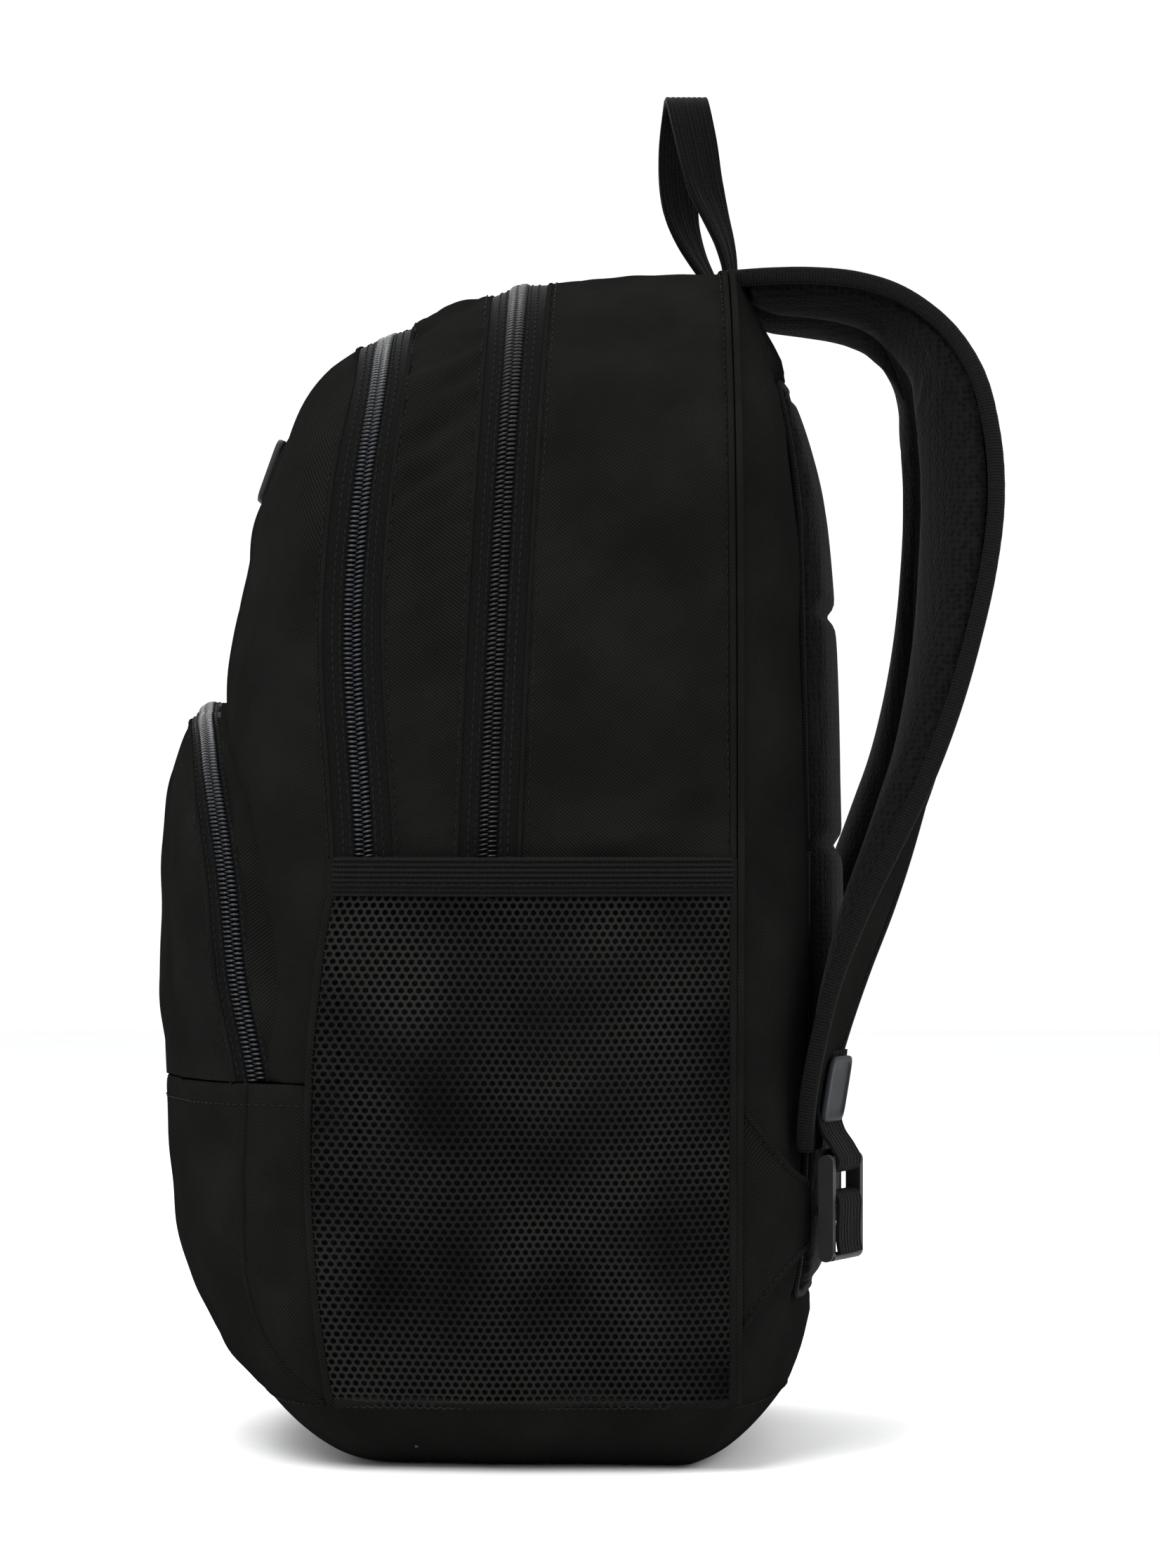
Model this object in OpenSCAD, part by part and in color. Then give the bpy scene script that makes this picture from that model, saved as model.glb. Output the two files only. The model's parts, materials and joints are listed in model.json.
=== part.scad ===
// School backpack: main compartment, front compartment, front pocket, two mesh side pockets.
// +Z is up, the pockets face -Y, the shoulder straps and the back panel face +Y.
// The origin is the centre of the flat base. Each panel is its own thin closed solid.

/* [Body] */
// Height of the body at the back seam
body_h = 436; // [420:1:450]
// Half width of the body at the back seam
back_half_w = 150; // [146:1:154]
// Half width of the body at the main zip
main_half_w = 152; // [148:1:156]
// Half width of the body at the front zip
front_half_w = 146; // [142:1:150]
// Half width of the front panel
panel_half_w = 124; // [120:1:128]
// Depth of the back seam behind the origin
back_seam_y = 66; // [64:1:68]
// Depth of the flat of the back panel behind the origin
back_y = 104; // [102:1:106]
// Height at which the side panels meet the base
base_edge_z = 25; // [22:1:28]
// Thickness of a padded cloth wall
wall_t = 2.4; // [2:0.1:2.8]

/* [Zips] */
// Height of the lower ends of the main zip, where the front folds
fold_z = 220; // [218:1:222]
// Distance from a chain's centre line to the edge of the cloth beside it
zip_half_w = 11; // [10.5:0.5:12]
// Width of one half of a coil chain
coil_w = 3.1; // [2.8:0.1:3.2]
// Thickness of a coil chain
coil_t = 2.6; // [2.4:0.1:2.8]

/* [Straps] */
// Width of a shoulder strap
strap_w = 64; // [60:1:66]
// Thickness of a shoulder strap
strap_t = 11; // [9:1:12]
// Width of the adjusting webbing
web_w = 24; // [20:1:25]
// Thickness of the webbing
web_t = 1.5; // [1.2:0.1:1.6]
// Width of the haul loop's webbing
haul_w = 22; // [20:1:24]
// Height of the haul loop above its hinge line
haul_h = 61; // [56:1:66]

/* [Side pockets] */
// How far a mesh side pocket bulges
pocket_bulge = 12; // [10:1:15]
// Height of the elastic band
elastic_h = 13; // [12:1:14]

/* [Hidden] */
black = [0.08, 0.08, 0.09];
charcoal = [0.14, 0.14, 0.15];
slate = [0.35, 0.38, 0.42];
$fn = 32;

// ---- Seam lines: [half width, top height, corner radius, [[height, depth], ...]] ----
crown = 4;
back_seam = [back_half_w, body_h, 80, [[0, back_seam_y], [420, back_seam_y], [body_h, 65]]];
main_seam = [main_half_w, body_h - 6, 85,
    [[0, -24], [fold_z, -23], [350, -17.2], [430, -12]]];
front_seam = [front_half_w, body_h - 23, 80,
    [[0, -66], [fold_z, -67], [310, -71], [350, -68], [390, -63], [413, -61]]];
panel_seam = [panel_half_w, body_h - 36, 72,
    [[0, -86], [25, -92], [137, -100], [285, -109], [340, -99], [380, -89], [400, -84]]];
pocket_seam = [panel_half_w + 6, 277, 80,
    [[0, -83], [25, -88], [110, -98], [140, -106], [175, -113], [272, -129], [277, -131]]];
// The pocket panel's edge runs this far inside its zip's centre line
pocket_edge = 5;
pocket_inner = [
    pocket_seam[0] - pocket_edge, pocket_seam[1] - pocket_edge, pocket_seam[2] - pocket_edge,
    [for (p = pocket_seam[3]) [p[0], p[1] - pocket_edge]]];
// Depth of the front face on the centre line, behind the pocket and on the pocket
front_face = [[25, -106], [60, -114], [180, -118], [285, -121], [305, -117], [328, -112],
    [356, -105], [377, -98], [388, -93], [400, -84]];
pocket_face = [[25, -110], [35, -119], [53, -128], [107, -140], [135, -142], [160, -144],
    [216, -144], [244, -141], [260, -137.5], [273, -132.7], [276, -131]];
back_face = [[25, 86], [53, 95], [73, back_y - 2], [100, back_y], [250, back_y],
    [318, back_y - 3], [344, back_y - 5], [371, back_y - 9.5], [395, back_y - 16],
    [415, back_y - 26], [424, 70], [436, 65]];

function unit(v) = v / max(norm(v), 1e-9);
function lerp(a, b, t) = a + (b - a) * t;

// Share of a seam's half length that is side, and where its corner ends
side_share = 0.6;
corner_share = 0.86;
// A point on a seam: v is -1 at the lower left end, 0 at the top, 1 at the lower right end
function seam(s, v, z0) =
    let (t = 1 - abs(v),
         w = s[0],
         r = s[2],
         z_turn = s[1] - crown - r,
         a = 90 * (t - side_share) / (corner_share - side_share),
         k = (1 - t) / (1 - corner_share),
         x = t < side_share ? w : t < corner_share ? w - r + r * cos(a) : (w - r) * k,
         z = t < side_share ? lerp(z0, z_turn, t / side_share)
           : t < corner_share ? z_turn + r * sin(a)
           : s[1] - crown * k * k,
         slim = 5 * pow(max(0, 200 - z) / 200, 2))
    [(v < 0 ? -1 : 1) * (x - slim), lookup(z, s[3]), z];

// Steps along a seam, from the left end over the top to the right end
half_steps = [for (i = [0:5]) i * side_share / 6,
    for (i = [0:6]) lerp(side_share, corner_share, i / 6),
    for (i = [1:3]) lerp(corner_share, 1, i / 3)];
last_step = len(half_steps) - 1;
arch = [for (t = half_steps) t - 1, for (i = [1:last_step]) 1 - half_steps[last_step - i]];

// ---- A closed shell between two depths below a grid of points ----
function grid_normal(g, i, j) =
    let (ni = len(g) - 1, nj = len(g[0]) - 1)
    unit(cross(g[min(i + 1, ni)][j] - g[max(i - 1, 0)][j],
               g[i][min(j + 1, nj)] - g[i][max(j - 1, 0)]));

module shell(g, top, bottom) {
    ni = len(g);
    nj = len(g[0]);
    n = ni * nj;
    points = [
        for (i = [0:ni - 1]) for (j = [0:nj - 1]) g[i][j] - grid_normal(g, i, j) * top,
        for (i = [0:ni - 1]) for (j = [0:nj - 1]) g[i][j] - grid_normal(g, i, j) * bottom
    ];
    function at(i, j) = i * nj + j;
    rim = concat(
        [for (j = [0:nj - 1]) at(0, j)],
        [for (i = [1:ni - 1]) at(i, nj - 1)],
        [for (j = [nj - 2:-1:0]) at(ni - 1, j)],
        [for (i = [ni - 2:-1:1]) at(i, 0)]);
    m = len(rim);
    faces = concat(
        [for (i = [0:ni - 2]) for (j = [0:nj - 2]) [at(i, j), at(i, j + 1), at(i + 1, j + 1)]],
        [for (i = [0:ni - 2]) for (j = [0:nj - 2]) [at(i, j), at(i + 1, j + 1), at(i + 1, j)]],
        [for (i = [0:ni - 2]) for (j = [0:nj - 2]) [n + at(i, j), n + at(i + 1, j + 1), n + at(i, j + 1)]],
        [for (i = [0:ni - 2]) for (j = [0:nj - 2]) [n + at(i, j), n + at(i + 1, j), n + at(i + 1, j + 1)]],
        [for (k = [0:m - 1]) [rim[(k + 1) % m], rim[k], n + rim[k]]],
        [for (k = [0:m - 1]) [rim[(k + 1) % m], n + rim[k], n + rim[(k + 1) % m]]]);
    polyhedron(points, faces);
}

// The strip of wall between two seams; from_d and to_d are left free beside each seam
function between(a, b, za, zb, from_d, to_d, puff, steps) = [
    for (v = arch)
        let (p = seam(a, v, za), q = seam(b, v, zb), d = norm(q - p),
             out = unit([p[0] + q[0], 0, max(0, p[2] + q[2] - 2 * (a[1] - a[2]))]))
        [for (i = [steps:-1:0])
            let (u = lerp(from_d / d, 1 - to_d / d, i / steps))
            lerp(p, q, u) + out * puff * sin(180 * i / steps)]
];

// A narrow strip beside a seam, from from_d to to_d towards another seam
function beside(a, b, za, zb, from_d, to_d) = [
    for (v = arch)
        let (p = seam(a, v, za), q = seam(b, v, zb), d = unit(q - p))
        [p + d * from_d, p + d * to_d]
];

// The fold wedge: heights of its lower and upper planes at a depth
fold_y = lookup(fold_z, main_seam[3]);
function fold_low(y) = fold_z - 1 + 0.32 * min(0, y - fold_y);
function fold_high(y) = fold_z + 1 - 0.16 * min(0, y - fold_y);
// Where the side panels and the fold start, just ahead of the rear gusset
side_start = fold_y + zip_half_w - 1.6;

// ---- Back ----
back_us = [-1, -0.93, -0.8, -0.55, -0.25, 0, 0.25, 0.55, 0.8, 0.93, 1];
function half_width_at(s, z) =
    let (z_turn = s[1] - crown - s[2], rise = min(1, max(0, z - z_turn) / s[2]))
    s[0] - s[2] + s[2] * sqrt(1 - rise * rise) - 5 * pow(max(0, 200 - z) / 200, 2);
function back_point(u, z, inset) =
    let (w = half_width_at(back_seam, z) - inset, y = lookup(z, back_face))
    [u * w, y - (y - back_seam_y - 0.6) * pow(abs(u), 3), z];
back_zs = [25.5, 45, 75, 110, 160, 220, 280, 330, 365, 390, 408, 421, 430];

module back_panel() {
    color(black)
        shell([for (z = back_zs) [for (u = back_us) back_point(u, z, 0)]], 0, wall_t);
}

module back_foam() {
    color(charcoal)
        shell([for (z = [34, 75, 110, 160, 220, 280, 330, 365, 390])
            [for (u = [-1, -0.6, 0, 0.6, 1]) back_point(u * 0.8, z, 0) - [0, 4, 0]]], 0, 8);
}

module laptop_sleeve() {
    color(slate)
        translate([-120, 61, 36]) cube([240, 3.6, 270]);
}

module rear_gusset() {
    color(black)
        shell(between(back_seam, main_seam, base_edge_z + 0.5, base_edge_z + 0.5,
            wall_t + 1, zip_half_w, 1.5, 4), 0, wall_t);
}

module back_seam_piping() {
    inner = [back_seam[0] + 3, back_seam[1] + 3, back_seam[2], back_seam[3]];
    color(charcoal)
        shell([for (v = arch)
            let (p = seam(inner, v, base_edge_z + 1)) [p + [0, 1.6, 0], p - [0, 1.6, 0]]], 0, 2.6);
}

// ---- Lower front, fixed to the back ----
function side_point(sx, y, z) =
    let (yb = lookup(z, main_seam[3]), yc = lookup(z, front_seam[3]), yd = lookup(z, panel_seam[3]),
         w = y > yb ? lerp(main_half_w, back_half_w, (y - yb) / (back_seam_y - yb))
           : y > yc ? lerp(main_half_w, front_half_w, (yb - y) / (yb - yc))
           : lerp(front_half_w, panel_half_w, (yc - y) / (yc - yd)),
         slim = 5 * pow(max(0, 200 - z) / 200, 2))
    [sx * (w - slim), y, z];

// The side panel's columns are shares of the way from the rear gusset to the front panel
module side_panel(sx) {
    rows = [for (k = [0:6]) [for (share = [0, 0.35, 0.62, 0.8, 1])
        let (y = lerp(side_start, -98, share), z = lerp(base_edge_z + 0.5, fold_low(y), k / 6),
             front_end = lookup(z, panel_seam[3]) + 1)
        side_point(sx, max(y, front_end), z)]];
    color(black)
        shell(sx > 0 ? rows : [for (r = rows) [for (i = [4:-1:0]) r[i]]], 0, wall_t);
}
module side_panel_right() { side_panel(1); }
module side_panel_left() { side_panel(-1); }

face_us = [1, 0.94, 0.82, 0.6, 0.3, 0, -0.3, -0.6, -0.82, -0.94, -1];
function face_point(s, face, u, z, power, clear) =
    let (w = half_width_at(s, z) - clear, y = lookup(z, face), edge = lookup(z, s[3]) - clear)
    [u * w, y + (edge - y) * pow(abs(u), power), z];

module front_panel_lower() {
    color(charcoal)
        shell([for (z = [40, 60, 100, 140, 178])
            [for (u = face_us) face_point(panel_seam, front_face, u * 0.7, z, 4, 0.5)]], 0, wall_t);
}

module front_pocket_panel() {
    color(black)
        shell([for (z = [26, 35, 53, 80, 107, 130, 145, 160, fold_low(-144) - 1])
            [for (u = face_us) face_point(pocket_inner, pocket_face, u, z, 3.5, 0)]], 0, wall_t);
}

// The part of the front that crumples when the compartment opens: two sides and the pocket's front
function fold_height(y, share) = lerp(fold_low(y) + 0.5, fold_high(y) - 0.5, share);
module side_fold(line) {
    shell([for (share = [0, 0.5, 1]) [for (p = line) [p[0], p[1], fold_height(p[1], share)]]], 0, wall_t);
}
module front_fold() {
    side = [for (y = [side_start, -23, -45, -67, -85, -98]) side_point(1, y, fold_z)];
    color(black) {
        side_fold(side);
        side_fold([for (i = [len(side) - 1:-1:0]) [-side[i][0], side[i][1]]]);
        shell([for (share = [0, 0.5, 1]) [for (u = face_us)
            let (y = face_point(pocket_inner, pocket_face, u, fold_z, 3.5, 0)[1])
            face_point(pocket_inner, pocket_face, u, fold_height(y, share), 3.5, 0)]], 0, wall_t);
    }
}

// ---- Base ----
base_ring = [[-126, -78], [-120, -86], [-100, -96], [-60, -103], [0, -105], [60, -103], [100, -96],
    [120, -86], [126, -78], [138, -60], [146, -20], [146, 40], [140, 62], [120, 74], [60, 82], [0, 84],
    [-60, 82], [-120, 74], [-140, 62], [-146, 40], [-146, -20], [-138, -60]];
base_centre_y = -8;
// Rings: height, how far it is drawn in from the edge, how much higher its inner face is
base_levels = [[24.3, 1, 0], [16, 2.5, 0], [8, 8, 0], [3, 16, 1.6], [0, 26, wall_t]];
function base_at(p, inset) =
    let (c = [0, base_centre_y], d = p - c) c + d * (1 - inset / norm(d));

module base_panel() {
    n = len(base_ring);
    k = len(base_levels);
    m = n * k;
    points = concat(
        [for (l = base_levels) for (p = base_ring)
            let (q = base_at(p, l[1])) [q[0], q[1], l[0]]],
        [for (l = base_levels) for (p = base_ring)
            let (q = base_at(p, l[1] + wall_t)) [q[0], q[1], l[0] + l[2]]]);
    faces = concat(
        [for (a = [0:k - 2]) for (i = [0:n - 1])
            [a * n + i, a * n + (i + 1) % n, (a + 1) * n + (i + 1) % n]],
        [for (a = [0:k - 2]) for (i = [0:n - 1])
            [a * n + i, (a + 1) * n + (i + 1) % n, (a + 1) * n + i]],
        [for (a = [0:k - 2]) for (i = [0:n - 1])
            [m + a * n + i, m + (a + 1) * n + (i + 1) % n, m + a * n + (i + 1) % n]],
        [for (a = [0:k - 2]) for (i = [0:n - 1])
            [m + a * n + i, m + (a + 1) * n + i, m + (a + 1) * n + (i + 1) % n]],
        [for (i = [0:n - 1]) [(i + 1) % n, i, m + i]],
        [for (i = [0:n - 1]) [(i + 1) % n, m + i, m + (i + 1) % n]],
        [[for (i = [0:n - 1]) (k - 1) * n + i]],
        [[for (i = [n - 1:-1:0]) m + (k - 1) * n + i]]);
    color(black)
        polyhedron(points, faces);
}

module base_board() {
    color(slate)
        translate([0, base_centre_y, wall_t + 0.4])
            linear_extrude(1.6)
                hull()
                    for (x = [-95, 95], y = [-42, 42]) translate([x, y]) circle(10);
}

// ---- Mesh side pockets ----
pocket_top = fold_z - elastic_h;
pocket_clear = 3.2;
function pocket_x(y, z) =
    let (across = (y + 78) / 142, up = (z - base_edge_z) / (pocket_top - base_edge_z),
         puff = sin(180 * min(1, max(0, across))) * sin(180 * pow(min(1, max(0, up)), 1.25)),
         lift = 6 * min(1, max(0, up)) * sin(180 * min(1, max(0, across))))
    side_point(1, y, z)[0] + pocket_clear + lift + pocket_bulge * max(0, puff);

module mesh_pocket(sx) {
    ys = [61, 50, 36, 14, -8, -30, -52, -68, -78];
    zs = [base_edge_z + 1, 40, 62, 90, 120, 150, 178, pocket_top - 0.6];
    rows = [for (z = zs) [for (y = ys) [sx * pocket_x(y, z), y, z]]];
    color(charcoal)
        shell(sx > 0 ? rows : [for (r = rows) [for (i = [8:-1:0]) r[i]]], -1.2, 0);
}
module mesh_pocket_right() { mesh_pocket(1); }
module mesh_pocket_left() { mesh_pocket(-1); }

module pocket_elastic(sx) {
    ys = [61, 52, 40, 14, -8, -30, -54, -70, -78];
    rows = [for (z = [pocket_top, fold_z - 0.5]) [for (y = ys) [sx * pocket_x(y, pocket_top), y, z]]];
    color(black)
        shell(sx > 0 ? rows : [for (r = rows) [for (i = [8:-1:0]) r[i]]], -1.6, 0);
}
module pocket_elastic_right() { pocket_elastic(1); }
module pocket_elastic_left() { pocket_elastic(-1); }

// ---- Zips: tapes and the two halves of each coil chain ----
coil_proud = 0.4;
tape_from = coil_w + 1.1;
tape_to = zip_half_w - 1;
chain_gap = 0.8;
chain_to = chain_gap + coil_w;
coil_in = coil_t - coil_proud;
zip_z = fold_z + 3.2;

module zip_strip(a, b, za, zb, from_d, to_d, top, bottom, flip) {
    g = beside(a, b, za, zb, from_d, to_d);
    shell(flip ? g : [for (r = g) [r[1], r[0]]], top, bottom);
}
module main_zip_tape_rear() {
    color(black)
        zip_strip(main_seam, back_seam, zip_z, zip_z, tape_from, tape_to, 0.6, 1.6, true);
}
module main_zip_coil_rear() {
    color(charcoal)
        zip_strip(main_seam, back_seam, zip_z, zip_z, chain_gap, chain_to, -coil_proud, coil_in, true);
}
module main_zip_tape_front() {
    color(black)
        zip_strip(main_seam, front_seam, zip_z, zip_z, tape_from, tape_to, 0.6, 1.6, false);
}
module main_zip_coil_front() {
    color(charcoal)
        zip_strip(main_seam, front_seam, zip_z, zip_z, chain_gap, chain_to, -coil_proud, coil_in, false);
}
front_z = fold_high(-67) + 1;
panel_z = fold_high(-104) + 1;
module front_zip_tape() {
    color(black) {
        zip_strip(front_seam, main_seam, front_z, front_z, tape_from, tape_to, 0.6, 1.6, true);
        zip_strip(front_seam, panel_seam, front_z, panel_z, tape_from, tape_to, 0.6, 1.6, false);
    }
}
module front_zip_coil() {
    color(slate) {
        zip_strip(front_seam, main_seam, front_z, front_z, chain_gap, chain_to,
            -coil_proud, coil_in, true);
        zip_strip(front_seam, panel_seam, front_z, panel_z, chain_gap, chain_to,
            -coil_proud, coil_in, false);
    }
}

// ---- Front section: everything ahead of the main zip that tips forward ----
module mid_gusset() {
    color(black)
        shell(between(main_seam, front_seam, fold_high(-30) + 1, front_z, zip_half_w, zip_half_w, 1.5, 3),
            0, wall_t);
}
module front_gusset() {
    color(black)
        shell(between(front_seam, panel_seam, front_z, panel_z, zip_half_w, 1, 2, 3), 0, wall_t);
}
module front_panel() {
    color(black)
        shell([for (z = [242, 262, 285, 305, 328, 352, 370, 384, 392, 396])
            [for (u = face_us) face_point(panel_seam, front_face, u, z, 4, 0.6)]], 0, wall_t);
}
module pocket_panel_upper() {
    color(black)
        shell([for (z = [fold_high(-144) + 1, 250, 260, 267])
            [for (u = face_us) face_point(pocket_inner, pocket_face, u, z, 3.5, 0)]], 0, wall_t);
}
module divider_panel() {
    color(slate)
        translate([-118, -50, 232]) cube([236, 1.2, 145]);
}
module divider_lower() {
    color(slate)
        translate([-124, -50, 8]) cube([248, 1.2, 196]);
}
module front_patch() {
    color(charcoal)
        translate([0, -103.6, 368])
            rotate([-15, 0, 0])
                cube([52, 1.2, 24], center = true);
}

// The pocket's zip runs up one side, over the top and down the other side
pocket_zip_z = 140;
pocket_out = [pocket_seam[0] + 3, pocket_seam[1] + 4, pocket_seam[2],
    [for (p = pocket_seam[3]) [p[0], p[1] + 12]]];
pocket_in = [pocket_seam[0] - 5, pocket_seam[1] - 5.3, pocket_seam[2],
    [for (p = pocket_seam[3]) [p[0], p[1] - 9]]];
module pocket_strips(from_d, to_d, top, bottom) {
    zip_strip(pocket_seam, pocket_out, pocket_zip_z, pocket_zip_z, from_d, to_d, top, bottom, true);
    zip_strip(pocket_seam, pocket_in, pocket_zip_z, pocket_zip_z, from_d, to_d, top, bottom, false);
}
module pocket_zip_tape() {
    color(black)
        pocket_strips(tape_from, 5.6, 0.6, 1.6);
}
module pocket_zip_coil() {
    color(slate)
        pocket_strips(chain_gap, chain_to, -coil_proud, coil_in);
}

// ---- Sliders and pulls, all parked on the left side ----
// A slider's own frame: +X out of the bag, +Z along the chain, origin on the chain's centre line
slider_l = 11;
slider_w = 9;
bail_out = 5.2;
bail_r = 0.8;
pull_l = 24;
module slider_body() {
    difference() {
        union() {
            translate([1.3, -slider_w / 2, -slider_l / 2]) cube([1.4, slider_w, slider_l]);
            translate([-4.8, -slider_w / 2, -slider_l / 2]) cube([1.4, slider_w, slider_l]);
        }
        for (side = [-1, 1])
            translate([-6, side * slider_w / 2, -slider_l / 2])
                rotate([side * 14, 0, 0])
                    translate([0, side > 0 ? 0 : -6, -3]) cube([10, 6, 9]);
    }
    translate([-4, -0.25, -3.5]) cube([6, 0.5, 7]);
    for (side = [-1, 1])
        translate([2.5, side * 3.4 - 0.6, -1.4]) cube([bail_out - 2.5, 1.2, 2.8]);
    translate([bail_out, 0, 0]) rotate([90, 0, 0]) cylinder(r = bail_r, h = 8, center = true);
}
module pull_body() {
    translate([bail_out, 0, 0]) {
        difference() {
            union() {
                rotate([90, 0, 0]) cylinder(r = 2.1, h = 4.6, center = true);
                translate([-0.7, -2.3, -pull_l]) cube([1.4, 4.6, pull_l - 1]);
            }
            rotate([90, 0, 0]) cylinder(r = bail_r + 0.3, h = 6, center = true);
        }
    }
}
// Places a child on the left half of a seam at a height, in line with the chain; turn faces it outwards
module on_left(s, z, turn) {
    slope = lookup(z + 1, s[3]) - lookup(z, s[3]);
    chain = unit([-slope * sin(turn), -slope * cos(turn), 1]);
    tilt = -asin(chain[1]);
    lean = asin(chain[0] / cos(tilt));
    translate([-s[0] + 5 * pow(max(0, 200 - z) / 200, 2), lookup(z, s[3]), z])
        rotate([tilt, lean, 180 + turn])
            children();
}
main_turn = 3;
front_turn = 19;
pocket_turn = 21;
upper_z = 304;
lower_z = 252;
front_slider_z = 256;
pocket_slider_z = 148;
module main_slider_upper() {
    color(charcoal)
        on_left(main_seam, upper_z, main_turn) slider_body();
}
module main_slider_lower() {
    color(charcoal)
        on_left(main_seam, lower_z, main_turn) slider_body();
}
module front_slider() {
    color(slate)
        on_left(front_seam, front_slider_z, front_turn) slider_body();
}
module pocket_slider() {
    color(slate)
        on_left(pocket_seam, pocket_slider_z, pocket_turn) slider_body();
}
module main_pull_upper() {
    color(charcoal)
        on_left(main_seam, upper_z, main_turn) pull_body();
}
module main_pull_lower() {
    color(charcoal)
        on_left(main_seam, lower_z, main_turn) pull_body();
}
module front_pull() {
    color(slate)
        on_left(front_seam, front_slider_z, front_turn) pull_body();
}
module pocket_pull() {
    color(slate)
        on_left(pocket_seam, pocket_slider_z, pocket_turn) pull_body();
}

// ---- Shoulder straps ----
// Centre line of the right strap, with the roll of its width and its share of the full width
strap_line = [
    [[52, 95, 429.5], 0, 0.1], [[52, 97, 429.5], 0, 0.5], [[52, 103, 429.5], 0, 0.78],
    [[52, 112, 429], 0, 0.95], [[53, 122, 426], 1, 1], [[57, 137, 417], 2, 1],
    [[64, 149.5, 399], 4, 1], [[70, 156.5, 375], 6, 1], [[76, 155.7, 350], 9, 1],
    [[81, 151.6, 325], 12, 1], [[86, 144.2, 300], 13, 1], [[90, 135.6, 275], 13, 1],
    [[94, 129, 250], 13, 1], [[97, 122.5, 226], 13, 0.98], [[100, 114.5, 202], 13, 0.95],
    [[103, 109, 178], 12, 0.9], [[105, 103.6, 154], 11, 0.82], [[107, 99.6, 132], 10, 0.72],
    [[108, 98.4, 121], 10, 0.56], [[108, 98, 116], 10, 0.4]
];
function strap_across(i) = [cos(strap_line[i][1]), -sin(strap_line[i][1]), 0];
function strap_along(i) = let (n = len(strap_line) - 1)
    unit(strap_line[min(i + 1, n)][0] - strap_line[max(i - 1, 0)][0]);
// Ring of a strap: a flat oval of 12 points
strap_oval = [[1, 0], [0.9, 0.8], [0.6, 1], [0, 1], [-0.6, 1], [-0.9, 0.8], [-1, 0],
    [-0.9, -0.8], [-0.6, -1], [0, -1], [0.6, -1], [0.9, -0.8]];
function strap_ring(i, w, t) =
    let (out = unit(cross(strap_along(i), strap_across(i))))
    [for (o = strap_oval) strap_line[i][0] + strap_across(i) * o[0] * w / 2 * strap_line[i][2]
        + out * o[1] * t / 2];

module tube(rings) {
    k = len(rings[0]);
    n = len(rings);
    points = [for (r = rings) for (p = r) p];
    polyhedron(points, concat(
        [for (i = [0:n - 2]) for (j = [0:k - 1])
            [i * k + j, (i + 1) * k + (j + 1) % k, i * k + (j + 1) % k]],
        [for (i = [0:n - 2]) for (j = [0:k - 1])
            [i * k + j, (i + 1) * k + j, (i + 1) * k + (j + 1) % k]],
        [[for (j = [0:k - 1]) j]],
        [[for (j = [k - 1:-1:0]) (n - 1) * k + j]]));
}
module shoulder_strap_right() {
    color(black)
        tube([for (i = [0:len(strap_line) - 1]) strap_ring(i, strap_w, strap_t * (i > 16 ? 0.8 : 1))]);
}
module shoulder_strap_left() { mirror([1, 0, 0]) shoulder_strap_right(); }

module strap_head_right() {
    color(black)
        tube([for (y = [71.5, 80, 88]) [for (o = strap_oval)
            [48 + (y - 71) * 0.15 + o[0] * strap_w / 2, y, 430 - o[1] * strap_t / 2]]]);
}
module strap_head_left() { mirror([1, 0, 0]) strap_head_right(); }

// ---- Buckles and webbing, in the buckle's own frame ----
// +X across the webbing, +Y away from the back, origin on the top bar's axis
buckle_at = [110, 104.5, 110.5];
buckle_turn = -22;
bar_r = 2;
rail_w = 3.2;
module at_buckle() {
    translate(buckle_at) rotate([0, 0, buckle_turn]) children();
}
module round_bar(y, z, r) {
    translate([0, y, z]) rotate([0, 90, 0]) cylinder(r = r, h = web_w + 4, center = true);
}
module ladder_lock_right() {
    color(black)
        at_buckle() {
            for (side = [-1, 1])
                hull()
                    for (z = [0, -33])
                        translate([side * (web_w / 2 + 1 + rail_w / 2), 0, z])
                            rotate([0, 90, 0]) cylinder(r = 2.8, h = rail_w, center = true);
            round_bar(0, 0, bar_r);
            round_bar(0, -14, bar_r);
            round_bar(0, -25, bar_r);
            round_bar(1.2, -34, 1.6);
        }
}
module ladder_lock_left() { mirror([1, 0, 0]) ladder_lock_right(); }

// A ribbon of webbing along a path in the buckle's side plane
function normals(path) = [for (i = [0:len(path) - 1])
    let (n = len(path) - 1, d = unit(path[min(i + 1, n)] - path[max(i - 1, 0)])) [-d[1], d[0]]];
module ribbon(path, w) {
    n = normals(path);
    k = len(path) - 1;
    rotate([90, 0, 90])
        linear_extrude(w, center = true)
            polygon(concat([for (i = [0:k]) path[i] + n[i] * web_t / 2],
                [for (i = [k:-1:0]) path[i] - n[i] * web_t / 2]));
}
loop_r = bar_r + 0.4 + web_t / 2;
module strap_webbing_right() {
    color(charcoal)
        at_buckle()
            ribbon(concat([[loop_r, 52], [loop_r, 25]],
                [for (a = [0:-30:-180]) loop_r * [cos(a), sin(a)]], [[-loop_r, 3.5]]), web_w);
}
module strap_webbing_left() { mirror([1, 0, 0]) strap_webbing_right(); }
module adjuster_webbing_right() {
    color(charcoal)
        at_buckle()
            ribbon(concat([[-4.7, -17.4]],
                [for (a = [180:-30:0]) [0, -14] + loop_r * [cos(a), sin(a)]],
                [[loop_r, -25], [loop_r + 1.2, -34.5], [loop_r + 2.6, -42]]), web_w);
}
module adjuster_webbing_left() { mirror([1, 0, 0]) adjuster_webbing_right(); }

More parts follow.
